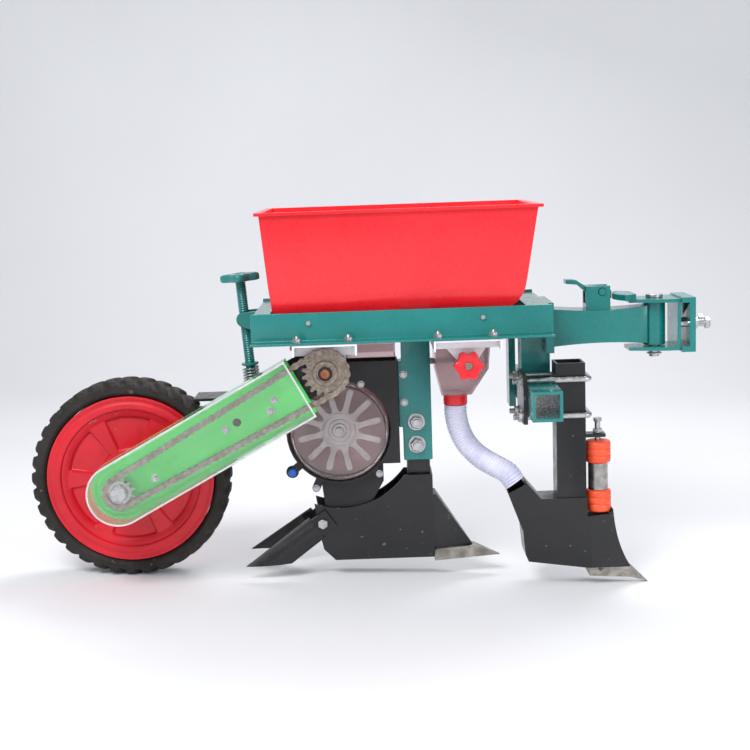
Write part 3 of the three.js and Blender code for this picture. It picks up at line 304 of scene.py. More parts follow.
def makeFinish(name, look):
    # two mottled colours, roughness that wanders, a fine bump, and where asked worn spots
    material = bpy.data.materials.new(name)
    material.use_nodes = True
    tree = material.node_tree
    shader = tree.nodes["Principled BSDF"]
    link = tree.links.new
    place = tree.nodes.new("ShaderNodeTexCoord")
    stretch = tree.nodes.new("ShaderNodeMapping")
    stretch.inputs["Scale"].default_value = look.get("stretch", (1, 1, 1))
    link(place.outputs["Object"], stretch.inputs["Vector"])

    def noise(scale, detail=4.0, vector=stretch):
        node = tree.nodes.new("ShaderNodeTexNoise")
        node.inputs["Scale"].default_value = scale
        node.inputs["Detail"].default_value = detail
        link(vector.outputs[0] if vector is stretch else vector.outputs["Object"], node.inputs["Vector"])
        return node

    mottle = noise(look["patch"])
    ramp = tree.nodes.new("ShaderNodeValToRGB")
    for stop, position, key in zip(ramp.color_ramp.elements, (0.35, 0.7), ("base", "second")):
        stop.position, stop.color = position, linear(*look[key])
    link(mottle.outputs["Fac"], ramp.inputs["Fac"])
    colour = ramp.outputs["Color"]

    rough = tree.nodes.new("ShaderNodeMapRange")
    rough.inputs["From Min"].default_value = 0.3
    rough.inputs["From Max"].default_value = 0.7
    rough.inputs["To Min"].default_value, rough.inputs["To Max"].default_value = look["rough"]
    link(noise(roughScale, 6.0).outputs["Fac"], rough.inputs["Value"])
    roughness = rough.outputs["Result"]

    if "worn" in look:
        spots = noise(look["wornScale"], 8.0, place)
        mask = tree.nodes.new("ShaderNodeValToRGB")
        mask.color_ramp.elements[0].position = look["wornFrom"]
        mask.color_ramp.elements[1].position = look["wornFrom"] + 0.03
        link(spots.outputs["Fac"], mask.inputs["Fac"])
        blend = tree.nodes.new("ShaderNodeMix")
        blend.data_type = "RGBA"
        blend.inputs["B"].default_value = linear(*look["worn"])
        link(mask.outputs["Color"], blend.inputs["Factor"])
        link(colour, blend.inputs["A"])
        colour = blend.outputs["Result"]

    link(colour, shader.inputs["Base Color"])
    link(roughness, shader.inputs["Roughness"])
    bump = tree.nodes.new("ShaderNodeBump")
    bump.inputs["Strength"].default_value = look["bump"]
    bump.inputs["Distance"].default_value = look.get("bumpDepth", 0.4) * mm
    link(noise(look["bumpScale"], 3.0).outputs["Fac"], bump.inputs["Height"])
    link(bump.outputs["Normal"], shader.inputs["Normal"])
    shader.inputs["Coat Roughness"].default_value = coatRough
    for socket, key, plain in (("Metallic", "metallic", 0.0), ("Coat Weight", "coat", 0.0),
                               ("Transmission Weight", "clear", 0.0), ("IOR", "ior", 1.46)):
        shader.inputs[socket].default_value = look.get(key, plain)
    return material


looks = dict(
    teal=dict(base=(14, 114, 111), second=(22, 126, 122), patch=9, rough=(0.2, 0.34), coat=0.5,
              bump=0.12, bumpScale=170, worn=(70, 92, 90), wornFrom=0.72, wornScale=48),
    hopperRed=dict(base=(226, 24, 36), second=(240, 38, 48), patch=6, rough=(0.24, 0.36), coat=0.25,
                   bump=0.08, bumpScale=420),
    wheelRed=dict(base=(198, 16, 34), second=(216, 26, 44), patch=18, rough=(0.3, 0.45), coat=0.1,
                  bump=0.15, bumpScale=260, worn=(205, 96, 92), wornFrom=0.7, wornScale=70),
    tyreRubber=dict(base=(30, 27, 25), second=(44, 40, 36), patch=26, rough=(0.6, 0.85), bump=0.35,
                    bumpScale=520, worn=(92, 84, 76), wornFrom=0.66, wornScale=60),
    blackPaint=dict(base=(13, 13, 16), second=(22, 22, 26), patch=16, rough=(0.25, 0.5), coat=0.25,
                    bump=0.25, bumpScale=190, worn=(92, 92, 94), wornFrom=0.69, wornScale=85),
    blackPlastic=dict(base=(22, 21, 23), second=(32, 30, 32), patch=20, rough=(0.35, 0.5), bump=0.2,
                      bumpScale=600),
    zinc=dict(base=(176, 178, 182), second=(206, 206, 202), patch=120, rough=(0.2, 0.42), metallic=0.95,
              bump=0.15, bumpScale=900),
    rawSteel=dict(base=(150, 147, 143), second=(188, 185, 180), patch=90, rough=(0.24, 0.42),
                  metallic=0.95, stretch=(1, 0.15, 1), bump=0.2, bumpScale=700),
    castSteel=dict(base=(128, 124, 118), second=(178, 172, 164), patch=55, rough=(0.34, 0.6),
                   metallic=0.85, bump=0.6, bumpScale=240, bumpDepth=0.8, worn=(96, 82, 70),
                   wornFrom=0.64, wornScale=45),
    chainSteel=dict(base=(128, 116, 104), second=(172, 160, 148), patch=150, rough=(0.28, 0.5),
                    metallic=0.85, bump=0.2, bumpScale=800),
    caseGreen=dict(base=(74, 240, 98), second=(92, 248, 116), patch=9, rough=(0.25, 0.4), coat=0.2,
                   bump=0.06, bumpScale=350),
    clearCover=dict(base=(252, 254, 252), second=(255, 255, 255), patch=10, rough=(0.02, 0.08),
                    clear=0.96, ior=1.4, bump=0.05, bumpScale=60),
    smokePlastic=dict(base=(212, 186, 188), second=(226, 204, 206), patch=12, rough=(0.08, 0.2),
                      clear=0.8, ior=1.42, bump=0.08, bumpScale=90),
    whitePlastic=dict(base=(232, 230, 234), second=(244, 243, 246), patch=12, rough=(0.28, 0.42),
                      bump=0.06, bumpScale=400),
    orangePlastic=dict(base=(238, 78, 40), second=(246, 96, 58), patch=30, rough=(0.3, 0.42), bump=0.1,
                       bumpScale=500),
    hosePlastic=dict(base=(196, 198, 222), second=(222, 222, 240), patch=26, rough=(0.3, 0.45),
                     bump=0.08, bumpScale=400),
    castAluminium=dict(base=(186, 168, 170), second=(208, 192, 194), patch=40, rough=(0.35, 0.5),
                       metallic=0.55, bump=0.25, bumpScale=420),
    knobBlue=dict(base=(24, 92, 190), second=(36, 108, 206), patch=40, rough=(0.25, 0.4), bump=0.1,
                  bumpScale=500),
    # near black painted shade for the inside of the chain case's sight hole, worn by a flat disc
    darkBore=dict(base=(14, 13, 13), second=(24, 22, 21), patch=40, rough=(0.5, 0.7), bump=0.1,
                  bumpScale=400),
    paper=dict(base=(226, 227, 230), second=(232, 233, 236), patch=0.8, rough=(0.7, 0.9), bump=0.02,
               bumpScale=40),
    meterRose=dict(base=(206, 140, 148), second=(222, 168, 174), patch=16, rough=(0.3, 0.5), bump=0.08,
                   bumpScale=300),
    copperEnd=dict(base=(150, 92, 66), second=(178, 116, 86), patch=140, rough=(0.3, 0.5),
                   metallic=0.8, bump=0.15, bumpScale=900),
)
finishes = {name: makeFinish(name, look) for name, look in looks.items()}


def slotFinish(slotName):
    # hopper_red wears hopperRed and so on, but the shares' slot wears castSteel
    words = slotName.replace("cast_share", "cast_steel").split("_")
    return finishes[words[0] + "".join(word.title() for word in words[1:])]


nodeSlot = {entry["node"]: entry["material_slot"] for entry in frame["record"]["subparts"]}
for node, cadObject in nodes.items():
    cadObject.data.materials.clear()
    cadObject.data.materials.append(slotFinish(nodeSlot[node]))
print("finishes", len(finishes))


def addPiece(name, shape, body, slotName, finish=None, replaces=(), sharp=35):
    # a piece in its slot's own finish unless another is named
    look = finishes[finish] if finish else slotFinish(slotName)
    return makePiece(name, shape, body, look, replaces, sharp)


def boxEnds(node):
    # the CAD box's low and high corner
    return [np.array(corner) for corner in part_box(node)]


def middle(node):
    # half the sum of the box's two corners
    low, high = boxEnds(node)
    return (low + high) / 2


# solids that keep their shape and get rounded edges: name and edge in millimetres
roundedNodes = dict(
    near_rail=("nearRail", 1.2), far_rail=("farRail", 1.2), rear_crossbar=("rearCrossbar", 1.2),
    hopper=("hopperShell", 2.0), rear_leg=("rearLegFrame", 1.6), toolbar_frame=("toolbarWeldment", 1.6),
    drawbar=("drawbarCasting", 2.2), latch_lever=("latchLever", 1.2), hitch_yoke=("hitchYoke", 0.9),
    coupling_plate=("couplingPlate", 1.5), screw_nut=("screwNut", 1.2), screw_clevis=("screwClevis", 1.4),
    near_arm=("nearArm", 0.9), far_arm=("farArm", 0.9), arm_cross_tube=("armCrossTube", 0.8),
    wheel_scraper=("mudScraper", 0.8), seed_boot=("seedBoot", 1.2), front_opener=("frontOpenerBody", 1.2),
    rear_share=("rearShare", 1.0), front_share=("frontShare", 1.0), clamp_plate=("clampPlate", 1.0),
    near_covering_share=("nearCoveringShare", 0.8), far_covering_share=("farCoveringShare", 0.8),
    seed_tray=("seedTray", 0.8), fertilizer_tray=("fertilizerTray", 0.9),
    seed_meter_housing=("seedMeterHousing", 1.0), fertilizer_bowl=("fertilizerBowl", 0.9),
    seed_chute=("seedChute", 0.8), chain_case_back=("chainCaseBack", 0.6),
    fluted_roller=("flutedRoller", 0.6), outlet_collar=("outletCollar", 1.0),
    chain_case_cover=("chainCaseCover", 0.9), coverer_bolt=("covererBolt", 0.7),
    kingpin=("hitchKingpin", 1.0), near_adjuster=("nearAdjuster", 0.7),
    far_adjuster=("farAdjuster", 0.7), wheel_axle=("wheelAxle", 0.5),
    input_shaft=("inputShaft", 0.5), seed_wheel_shaft=("seedWheelShaft", 0.5),
    fertilizer_shaft=("fertilizerShaft", 0.5), roller_bolt=("rollerBolt", 0.6),
)
for node, (pieceName, edge) in roundedNodes.items():
    slotName = nodeSlot[node]
    rounded(node, pieceName, edge * mm, slotFinish(slotName))
print("rounded solids", len(roundedNodes))


# press wheel
tyre = dict(lugs=36, lugDepth=6.5, slant=1.3, around=864, across=48, flankRing=0.8)


def aboutAxle(node, radius, across, t):
    # a closed surface round a node's middle: place = middle + (radius cos t, across, radius sin t)
    x, y, z = middle(node)
    table = np.broadcast_arrays(x + radius * np.cos(t)[:, None], y + across, z + radius * np.sin(t)[:, None])
    return gridShape(np.stack(table, -1), wrapRows=True)


def tyreShape():
    # a rounded box section carried round the rim; the tread drops by lugDepth between slanted lugs
    low, high = boxEnds("tyre")
    outer = (high[0] - low[0]) / 2 - 0.2 * mm
    discLow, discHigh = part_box("wheel_disc")
    inner = (discHigh[0] - discLow[0]) / 2 + 0.3 * mm
    half = (high[1] - low[1]) / 2
    s = (np.arange(tyre["across"]) + 0.5) / tyre["across"] * full
    t = turnSteps(tyre["around"])
    out = np.sign(np.sin(s)) * np.abs(np.sin(s)) ** 0.6
    wide = np.sign(np.cos(s)) * np.abs(np.cos(s)) ** 0.5
    radius = (outer + inner) / 2 + (outer - inner) / 2 * out
    lug = np.sin(tyre["lugs"] * t[:, None] + tyre["slant"] * math.pi * np.abs(wide)[None])
    lug = 0.5 + 0.5 * np.tanh(4 * (lug + 0.15))
    outward = stepped(-0.1, 0.45, np.sin(s))
    radius = radius[None] - tyre["lugDepth"] * mm * (1 - lug) * outward[None]
    flank = tyre["flankRing"] * mm * np.cos(5 * s) * (1 - outward)
    return aboutAxle("tyre", radius, half * wide - np.sign(wide) * np.abs(flank), t)


disc = dict(
    panels=6, depth=6.0, panelFrom=56, panelTo=106, around=480,
    # radius and distance from the middle plane, from the hub outwards
    side=((10.4, 75), (20, 75), (21.4, 73.6), (22, 70), (23.5, 36), (27, 31), (33, 29), (34, 24), (44, 22),
          (46, 19.5), (52, 19), (110, 19), (114, 22), (121, 23.5), (123, 27), (126, 28), (133, 28),
          (135, 26.4), (139, 26.4), (141, 28), (145.8, 28)),
)


def wheelDiscShape():
    # stepped rings from hub to rim, with fan-shaped panels let into both faces between the spokes
    side = np.array(disc["side"], float)
    reach = np.concatenate([side[:, 0], np.linspace(53, 109, 22)])
    reach = np.unique(np.round(reach, 2))
    height = np.interp(reach, side[:, 0], side[:, 1])
    t = turnSteps(disc["around"])
    share = np.abs((t * disc["panels"] / full) % 1 - 0.5) * 2
    window = 1 - stepped(0.66, 0.76, share)
    band = stepped(disc["panelFrom"] - 4, disc["panelFrom"], reach)
    band = band * (1 - stepped(disc["panelTo"], disc["panelTo"] + 4, reach))
    near = height[None] - disc["depth"] * window[:, None] * band[None]
    radius = np.concatenate([reach, reach[::-1]]) * mm
    return aboutAxle("wheel_disc", radius, np.concatenate([-near, near[:, ::-1]], 1) * mm, t)


addPiece("pressTyre", tyreShape(), "wheel", "tyre_rubber", replaces=["tyre"], sharp=50)
addPiece("pressWheelDisc", wheelDiscShape(), "wheel", "wheel_red", replaces=["wheel_disc"], sharp=40)
print("press wheel")


def hexBolt(radius, stub=0.0, washer=True):
    # washer, chamfered hexagon and thread end, standing on z = 0
    w = 0.3 * radius if washer else 0.0
    h = 1.35 * radius
    up = (0, 0, 1)
    parts = [revolve([(1.6 * radius, w), (1.75 * radius, w + 0.12 * radius),
                      (1.75 * radius, w + h - 0.25 * radius), (1.5 * radius, w + h)], (0, 0, 0), up, 6)]
    if washer:
        parts.append(revolve([(2.1 * radius, 0), (2.2 * radius, 0.25 * w), (2.2 * radius, 0.75 * w),
                              (2.1 * radius, w)], (0, 0, 0), up, 24))
    if stub:
        rows = np.arange(int(stub / (0.1 * radius)) + 1)
        thread = radius * (0.93 + 0.06 * np.cos(rows * math.pi / 2))
        along = w + h - 0.1 * radius + rows * 0.1 * radius
        parts.append(revolve(np.stack([thread, along], -1), (0, 0, 0), up, 14))
    return joined(*parts)


def addBolts(name, places, direction, radius, body="frame", stub=0.0, washer=True):
    # one zinc-plated bolt at each place, with its head along the direction; radius and stub in millimetres
    shape = moved(hexBolt(radius * mm, stub * mm, washer), standing(places, direction, 0.3))
    return addPiece(name, shape, body, "zinc", sharp=30)


# bolts on the rails, the rear leg and the meter's pad: millimetres from each solid's box
flangeBolts = dict(insets=(8, -13), side=13, top=4, radius=4, stub=5)
webScrews = dict(along=(95, 381), face=4, rise=33, radius=2.6)
legBolts = dict(back=27, half=25, heights=(-156, -196), radius=7, nearStub=5, farStub=9)
padBolts = dict(back=47, half=25, heights=(-72, -121), radius=3.2)
(railLow, railHigh), (legLow, legHigh) = boxEnds("near_rail"), boxEnds("rear_leg")


def addFrameBolts():
    # rows of bolts mirrored about the machine's middle plane
    trayEdges = np.array([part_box(node)[side][0] + flangeBolts["insets"][side] * mm
                          for node in ("seed_tray", "fertilizer_tray") for side in (0, 1)])
    flangeTop = railLow[2] + flangeBolts["top"] * mm
    flangeY = railLow[1] + flangeBolts["side"] * mm
    webY = railHigh[1] - webScrews["face"] * mm
    webZ = railLow[2] + webScrews["rise"] * mm
    for side, name in ((1, "nearFlangeBolts"), (-1, "farFlangeBolts")):
        spots = np.stack([trayEdges, np.full(4, side * flangeY), np.full(4, flangeTop)], -1)
        addBolts(name, spots, (0, 0, 1), flangeBolts["radius"], stub=flangeBolts["stub"])
    for side, name in ((1, "nearWebScrews"), (-1, "farWebScrews")):
        spots = [(railLow[0] + d * mm, side * webY, webZ) for d in webScrews["along"]]
        addBolts(name, spots, (0, -side, 0), webScrews["radius"], washer=False)
    for side, name, stub in ((-1, "legBolts", legBolts["nearStub"]), (1, "legBoltsFar", legBolts["farStub"])):
        spots = [(legHigh[0] - legBolts["back"] * mm, side * legBolts["half"] * mm, z * mm)
                 for z in legBolts["heights"]]
        addBolts(name, spots, (0, side, 0), legBolts["radius"], stub=stub)
    spots = [(legHigh[0] - padBolts["back"] * mm, -padBolts["half"] * mm, z * mm)
             for z in padBolts["heights"]]
    addBolts("meterPadBolts", spots, (0, -1, 0), padBolts["radius"])


addFrameBolts()
print("frame bolts")


# roller chains: millimetres
chain = dict(pitch=12.7, rollerRadius=4.2, pinRadius=2.1, plateHalf=5.4, plateThick=1.4, inner=3.4,
             waist=0.3, rollerHalf=2.8, pinHalf=6.0)


def runLength(line):
    # the distance along a line of points from its start to each point
    return np.concatenate([[0], np.cumsum(np.linalg.norm(np.diff(line, axis=0), axis=1))])


def placesAt(line, run, at):
    # the places on a line at given distances along it
    return np.stack([np.interp(at, run, column) for column in line.T], -1)


def beltPins(rear, front, rearTeeth, frontTeeth, y):
    # pin places at equal steps along the belt line round two pitch circles
    pitch = chain["pitch"] * mm
    a, b = rear[[0, 2]], front[[0, 2]]
    ra, rb = (pitch / (2 * math.sin(math.pi / n)) for n in (rearTeeth, frontTeeth))
    heading = math.atan2(b[1] - a[1], b[0] - a[0])
    lean = math.asin((rb - ra) / np.linalg.norm(b - a))
    roundFront = heading - math.pi / 2 - lean + np.linspace(0, 1, 200) * (math.pi + 2 * lean)
    roundRear = heading + math.pi / 2 + lean + np.linspace(0, 1, 200) * (math.pi - 2 * lean)
    line = np.concatenate([
        b + rb * np.stack([np.cos(roundFront), np.sin(roundFront)], -1),
        a + ra * np.stack([np.cos(roundRear), np.sin(roundRear)], -1),
    ])
    line = np.concatenate([line, line[:1]])
    run = runLength(line)
    count = 2 * round(run[-1] / pitch / 2)
    at = np.arange(count) / count * run[-1]
    return np.insert(placesAt(line, run, at), 1, y, 1)


def linkPlate(y):
    # two rounded ends with a narrower waist: half height = end radius * (1 - waist * cos^2) between pins
    p = chain["pitch"] / 2
    r = chain["plateHalf"]
    x = np.sin(np.linspace(-math.pi / 2, math.pi / 2, 13)) * (p + r)
    beyond = np.clip(np.abs(x) - p, 0, r)
    height = np.sqrt(r * r - beyond ** 2)
    height = height * (1 - chain["waist"] * np.cos(math.pi * np.clip(x / (2 * p), -0.5, 0.5)) ** 2)
    outline = np.concatenate([np.stack([x, height], -1), np.stack([x, -height], -1)[::-1][1:-1]])
    return plate(outline * mm, "y", (y - chain["plateThick"] / 2) * mm, (y + chain["plateThick"] / 2) * mm)


def chainShape(pins):
    # a link for every step from pin to pin, inner and outer in turn, with a roller and a pin at each
    step = np.roll(pins, -1, 0) - pins
    length = np.linalg.norm(step, axis=1)
    c, s = step[:, 0] / length, step[:, 2] / length
    links = np.tile(np.eye(4), (len(pins), 1, 1))
    links[:, 0, 0], links[:, 0, 2] = c, -s
    links[:, 2, 0], links[:, 2, 2] = s, c
    links[:, :3, 3] = (pins + np.roll(pins, -1, 0)) / 2
    rods = np.tile(np.eye(4), (len(pins), 1, 1))
    rods[:, :3, 3] = pins
    inner, thick = chain["inner"], chain["plateThick"]
    outer = inner + thick + 0.1
    roller = revolve([(chain["rollerRadius"] * mm, -chain["rollerHalf"] * mm),
                      (chain["rollerRadius"] * mm, chain["rollerHalf"] * mm)], (0, 0, 0), (0, 1, 0), 12)
    pin = revolve([(chain["pinRadius"] * mm * k, h * mm) for k, h in (
        (0.7, -chain["pinHalf"]), (1, -chain["pinHalf"] + 0.5), (1, chain["pinHalf"] - 0.5),
        (0.7, chain["pinHalf"]))], (0, 0, 0), (0, 1, 0), 10)
    return joined(
        moved(joined(linkPlate(-inner), linkPlate(inner)), links[::2]),
        moved(joined(linkPlate(-outer), linkPlate(outer)), links[1::2]),
        moved(joined(roller, pin), rods),
    )


wheelAt, inputAt = pivots["wheel_spin"], pivots["input_spin"]
seedAt, feedAt = pivots["seed_spin"], pivots["feed_spin"]
chainRuns = dict(
    drive_chain=("driveChainLinks", wheelAt, inputAt, 12, 18, "wheel_arm"),
    meter_chain=("meterChainLinks", seedAt, inputAt, 12, 12, "frame"),
    feed_chain=("feedChainLinks", inputAt, feedAt, 12, 12, "frame"),
)
for node, (name, rear, front, rearTeeth, frontTeeth, body) in chainRuns.items():
    pins = beltPins(rear, front, rearTeeth, frontTeeth, middle(node)[1])
    addPiece(name, chainShape(pins), body, "chain_steel", replaces=[node], sharp=30)
print("chains")


# freewheel sprocket, the seal ring in its hub and the copper-coloured end of the input shaft
freewheel = dict(teeth=18, tip=2.6, root=4.2, thick=3.2, edge=0.5, samples=288, sides=64, hub=(
    (8.4, -7), (11, -8), (12, -8), (12.4, -6.6), (14.4, -6.6), (15, -8), (20, -8), (21, -7), (21, 7),
    (20, 8), (8.4, 8)))
shaftCap = dict(sides=32, profile=((7.9, 0.4), (7.9, -0.6), (6.8, -1.8), (2.4, -1.8), (1.6, -0.9)))
sealRing = dict(sides=48, profile=((8.6, -9.4), (11.4, -9.4), (11.8, -8.8), (11.8, -7.6), (8.6, -7.6)))


def toothOutline(teeth, samples, tip, root):
    # radius = pitch radius minus root, plus a flat-topped wave that peaks between the chain's rollers
    pitchRadius = chain["pitch"] / (2 * math.sin(math.pi / teeth))
    t = turnSteps(samples)
    wave = stepped(-0.75, 0.75, -np.cos(teeth * t))
    radius = (pitchRadius - root + (tip + root) * wave) * mm
    return np.stack([radius * np.cos(t), radius * np.sin(t)], -1)


def threaded(form, low, high, centre, axis):
    # radius = r - depth * (0.5 - 0.5 cos(2 pi along / pitch - t)), tapering at both ends
    radius, pitch, depth = (form[key] * mm for key in ("radius", "pitch", "depth"))
    along = np.linspace(low, high, max(3, int((high - low) / pitch * 8) + 1))
    wave = 0.5 - 0.5 * np.cos(along[:, None] / pitch * full - turnSteps(form["sides"])[None])
    table = radius - depth * wave
    table[[0, -1]] = radius - 1.2 * depth
    return lathe(along, table, centre, axis)


def lobed(form, centre, axis):
    # a profile of (share, mm along): radius = share * (r - depth + depth cos(lobes * t))
    profile = np.array(form["profile"], float)
    radius, depth = form["radius"] * mm, form["depth"] * mm
    rim = radius - depth + depth * np.cos(form["lobes"] * turnSteps(form["sides"]))
    return lathe(profile[:, 1] * mm, profile[:, :1] * rim[None], centre, axis)


def turned(profile, centre, sides, axis=(0, 1, 0), looped=False):
    # a profile of (radius, along) in millimetres, revolved about Y unless another axis is named
    return revolve(np.array(profile, float) * mm, centre, axis, sides, looped)


def ringPlate(outer, inner, plane, low, high, edge):
    # a flat ring between two outlines with the same count of corners, its outer rims cut back
    small = inset(outer, edge)
    layers = [lift(inner, low, plane), lift(small, low, plane), lift(outer, low + edge, plane),
              lift(outer, high - edge, plane), lift(small, high, plane), lift(inner, high, plane)]
    return gridShape(np.stack(layers), wrapRows=True)


def ringShape(bore, radius, low, high, centre, edge, sides):
    # a turned ring about Y with a bore and its outer rims cut back by edge
    return turned([(bore, low), (radius - edge, low), (radius, low + edge), (radius, high - edge),
                   (radius - edge, high), (bore, high)], centre, sides, looped=True)


sprocketAt = (inputAt[0], middle("freewheel_sprocket")[1], inputAt[2])
flat = toothOutline(freewheel["teeth"], freewheel["samples"], freewheel["tip"], freewheel["root"])
half = freewheel["thick"] / 2 * mm
teeth = plate(flat + inputAt[[0, 2]], "y", sprocketAt[1] - half, sprocketAt[1] + half,
              freewheel["edge"] * mm)
hub = turned(freewheel["hub"], sprocketAt, freewheel["sides"])
addPiece("freewheelSprocket", joined(teeth, hub), "input", "chain_steel", replaces=["freewheel_sprocket"])
shaftEnd = (inputAt[0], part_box("input_shaft")[0][1], inputAt[2])
addPiece("inputShaftCap", turned(shaftCap["profile"], shaftEnd, shaftCap["sides"]), "input", "raw_steel",
         finish="copperEnd")
blackRing = turned(sealRing["profile"], sprocketAt, sealRing["sides"], looped=True)
addPiece("hubSealRing", blackRing, "input", "black_plastic")
print("freewheel")

# depth screw, its spring and the lobed knob on top: millimetres down from the nut's pivot
screw = dict(axis=(0.07023, 0, -0.99753), top=-66, low=130, radius=9, pitch=4, depth=0.9, sides=24)
screwKnob = dict(radius=34, lobes=4, depth=5, sides=168, profile=(
    (0.30, -65.5), (0.90, -65.5), (0.965, -66.3), (1.0, -68.4), (1.0, -74.6), (0.985, -76.4),
    (0.94, -78.0), (0.86, -79.0), (0.72, -79.4), (0.36, -79.45), (0.34, -78.6), (0.12, -78.6)))
screwSeat = dict(sides=40, profile=((9, 77), (14.2, 77), (15, 77.8), (15, 80.2), (14.2, 81), (9, 81)))
spring = dict(radius=13.3, wire=1.55, turns=5, low=84.8, high=110.6, steps=28, sides=10)


def springPath():
    # place = pivot + down * axis + r * (cos t, sin t), with t and down rising together
    share = np.linspace(0, 1, spring["turns"] * spring["steps"])
    down = (spring["low"] + (spring["high"] - spring["low"]) * share) * mm
    ring = onArc(share * spring["turns"] * full, *crossAxes(screw["axis"]))
    return screwAt + down[:, None] * unit(screw["axis"]) + spring["radius"] * mm * ring


screwAt = pivots["nut_swivel"]
screwPost = threaded(screw, screw["top"] * mm, screw["low"] * mm, screwAt, screw["axis"])
screwHead = lobed(screwKnob, screwAt, screw["axis"])
screwCollar = turned(screwSeat["profile"], screwAt, screwSeat["sides"], screw["axis"])
addPiece("depthScrew", joined(screwPost, screwHead, screwCollar), "screw", "teal", replaces=["depth_screw"])
addPiece("screwSpring", sweep(springPath(), spring["wire"] * mm, spring["sides"], screw["axis"]),
         "screw_slider", "teal", finish="zinc", replaces=["screw_spring"])
print("depth screw")

# ribbed fertilizer hose
hose = dict(pitch=5.0, rows=8, depth=1.3, outer=19.9, wall=2.4, innerShare=0.6, sides=56, steps=60, points=(
    (-412, -8, -130.5), (-412, -8, -147), (-407, -9, -173), (-395, -13, -199), (-374, -24, -221),
    (-349, -40, -235), (-328, -51, -246), (-315.5, -55, -263.6)))


def smoothPath(points, count):
    # cubic through every point: tangent = half the step between its neighbours, then equal arc steps
    p = np.asarray(points, float)
    m = np.gradient(p, axis=0)
    u = np.linspace(0, 1, hose["steps"], endpoint=False)[None, :, None]
    a, b, ma, mb = p[:-1, None], p[1:, None], m[:-1, None], m[1:, None]
    line = ((2 * u ** 3 - 3 * u ** 2 + 1) * a + (u ** 3 - 2 * u ** 2 + u) * ma
            + (3 * u ** 2 - 2 * u ** 3) * b + (u ** 3 - u ** 2) * mb).reshape(-1, 3)
    line = np.concatenate([line, p[-1:]])
    run = runLength(line)
    at = np.linspace(0, run[-1], count)
    return placesAt(line, run, at), at


def hoseShape():
    # outer radius = r - depth * (0.5 - 0.5 cos(2 pi s / pitch)); the inner wall follows at wall's depth
    length = smoothPath(hose["points"], 2)[1][-1]
    rows = int(length / hose["pitch"] * hose["rows"]) + 1
    path, at = smoothPath(hose["points"], rows)
    ring = ringsAlong(path, (0, 1, 0), hose["sides"])
    wave = hose["depth"] * (0.5 - 0.5 * np.cos(at / hose["pitch"] * full))
    outside = path[:, None] + (hose["outer"] - wave)[:, None, None] * ring
    inner = hose["outer"] - hose["wall"] - hose["innerShare"] * wave
    inside = path[:, None] + inner[:, None, None] * ring
    return gridShape(np.concatenate([outside, inside[::-1]]) * mm, wrapRows=True)


addPiece("fertilizerHose", hoseShape(), "frame", "hose_plastic", replaces=["delivery_hose"], sharp=60)
print("hose")

# U-bolts round the front shank
clamp = dict(radius=4.95, leg=31, corner=8, nut=5, pitch=1.5, depth=0.6, sides=16, arc=9)


def uBoltShape(node):
    # straight legs, a quarter circle at each corner and a bridge, with a nut and a thread on each leg
    low, high = boxEnds(node)
    y, z = (low[1:] + high[1:]) / 2
    front = high[0] - clamp["radius"] * mm
    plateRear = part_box("clamp_plate")[0][0]
    bend, reach = clamp["corner"] * mm, clamp["leg"] * mm
    t = np.linspace(0, math.pi / 2, clamp["arc"])
    nearArc = np.stack([front - bend + bend * np.sin(t), y - reach + bend - bend * np.cos(t)], -1)
    farArc = np.stack([front - bend + bend * np.cos(t), y + reach - bend + bend * np.sin(t)], -1)
    flat = np.concatenate([[[plateRear, y - reach]], nearArc, farArc, [[plateRear, y + reach]]])
    parts = [sweep(np.insert(flat, 2, z, 1), clamp["radius"] * mm, clamp["sides"])]
    for side in (-1, 1):
        spot = (plateRear, y + side * reach, z)
        parts.append(threaded(clamp, 0, plateRear - low[0], spot, (-1, 0, 0)))
        parts.append(moved(hexBolt(clamp["nut"] * mm), standing([spot], (-1, 0, 0), 0.5 + side)))
    return joined(*parts)


for node, name in (("ubolt_upper", "upperUBolt"), ("ubolt_lower", "lowerUBolt")):
    addPiece(name, uBoltShape(node), "frame", "zinc", replaces=[node], sharp=30)
print("clamp")

# seed meter: domed cover, spoked seed wheel, back disc, screws and lugs
meterFace = -0.0403
cover = dict(sides=96, profile=(
    (0.5, -12), (28, -12), (30, -10.2), (44, -9.6), (46, -10.4), (49, -10.4), (51, -9.2), (69, -8.9),
    (82, -5), (85, -0.6), (84.6, 0), (82, 0), (79, -3.5), (68, -6), (0.5, -7)))
# one spoon as (turn, share of the radius): an inner gap corner, two rim corners and the next gap corner
seedDisc = dict(radius=73.6, spoons=12, bore=7.35, low=-24, high=-19, edge=0.5, sides=48,
                rib=(28, 31, -25.4, -23.9), ribEdge=0.6, ribSides=72,
                spoon=((0.08, 0.5), (0.2, 0.62), (0.25, 1), (0.42, 1), (0.58, 0.99), (0.62, 0.62),
                       (0.72, 0.5), (0.9, 0.46)),
                hub=((7.35, -32), (12, -32), (13, -31), (13.4, -28), (19, -27.6), (20, -26.6), (20, -12),
                     (19, -11), (7.35, -11)))
backDisc = dict(bore=9, radius=86, low=8, high=10.4, edge=0.6, sides=96)
meterScrewRadius = 2.8
meterScrews = ((-0.660, -0.265), (-0.549, -0.243), (-0.576, -0.084))
latchAt = (-0.700, -0.234)
lug = dict(half=7, root=88, front=0.4, back=6, edge=0.6, arc=13)
latchFlange = dict(sides=40, profile=((1, 0), (11, 0), (11, -1.6), (9.4, -2.4), (8, -3), (1, -3)))
latchKnob = dict(radius=7.4, lobes=8, depth=0.5, sides=96, profile=(
    (0.3, -3), (0.92, -3), (1, -4), (1, -10), (0.9, -11.4), (0.3, -11.6)))


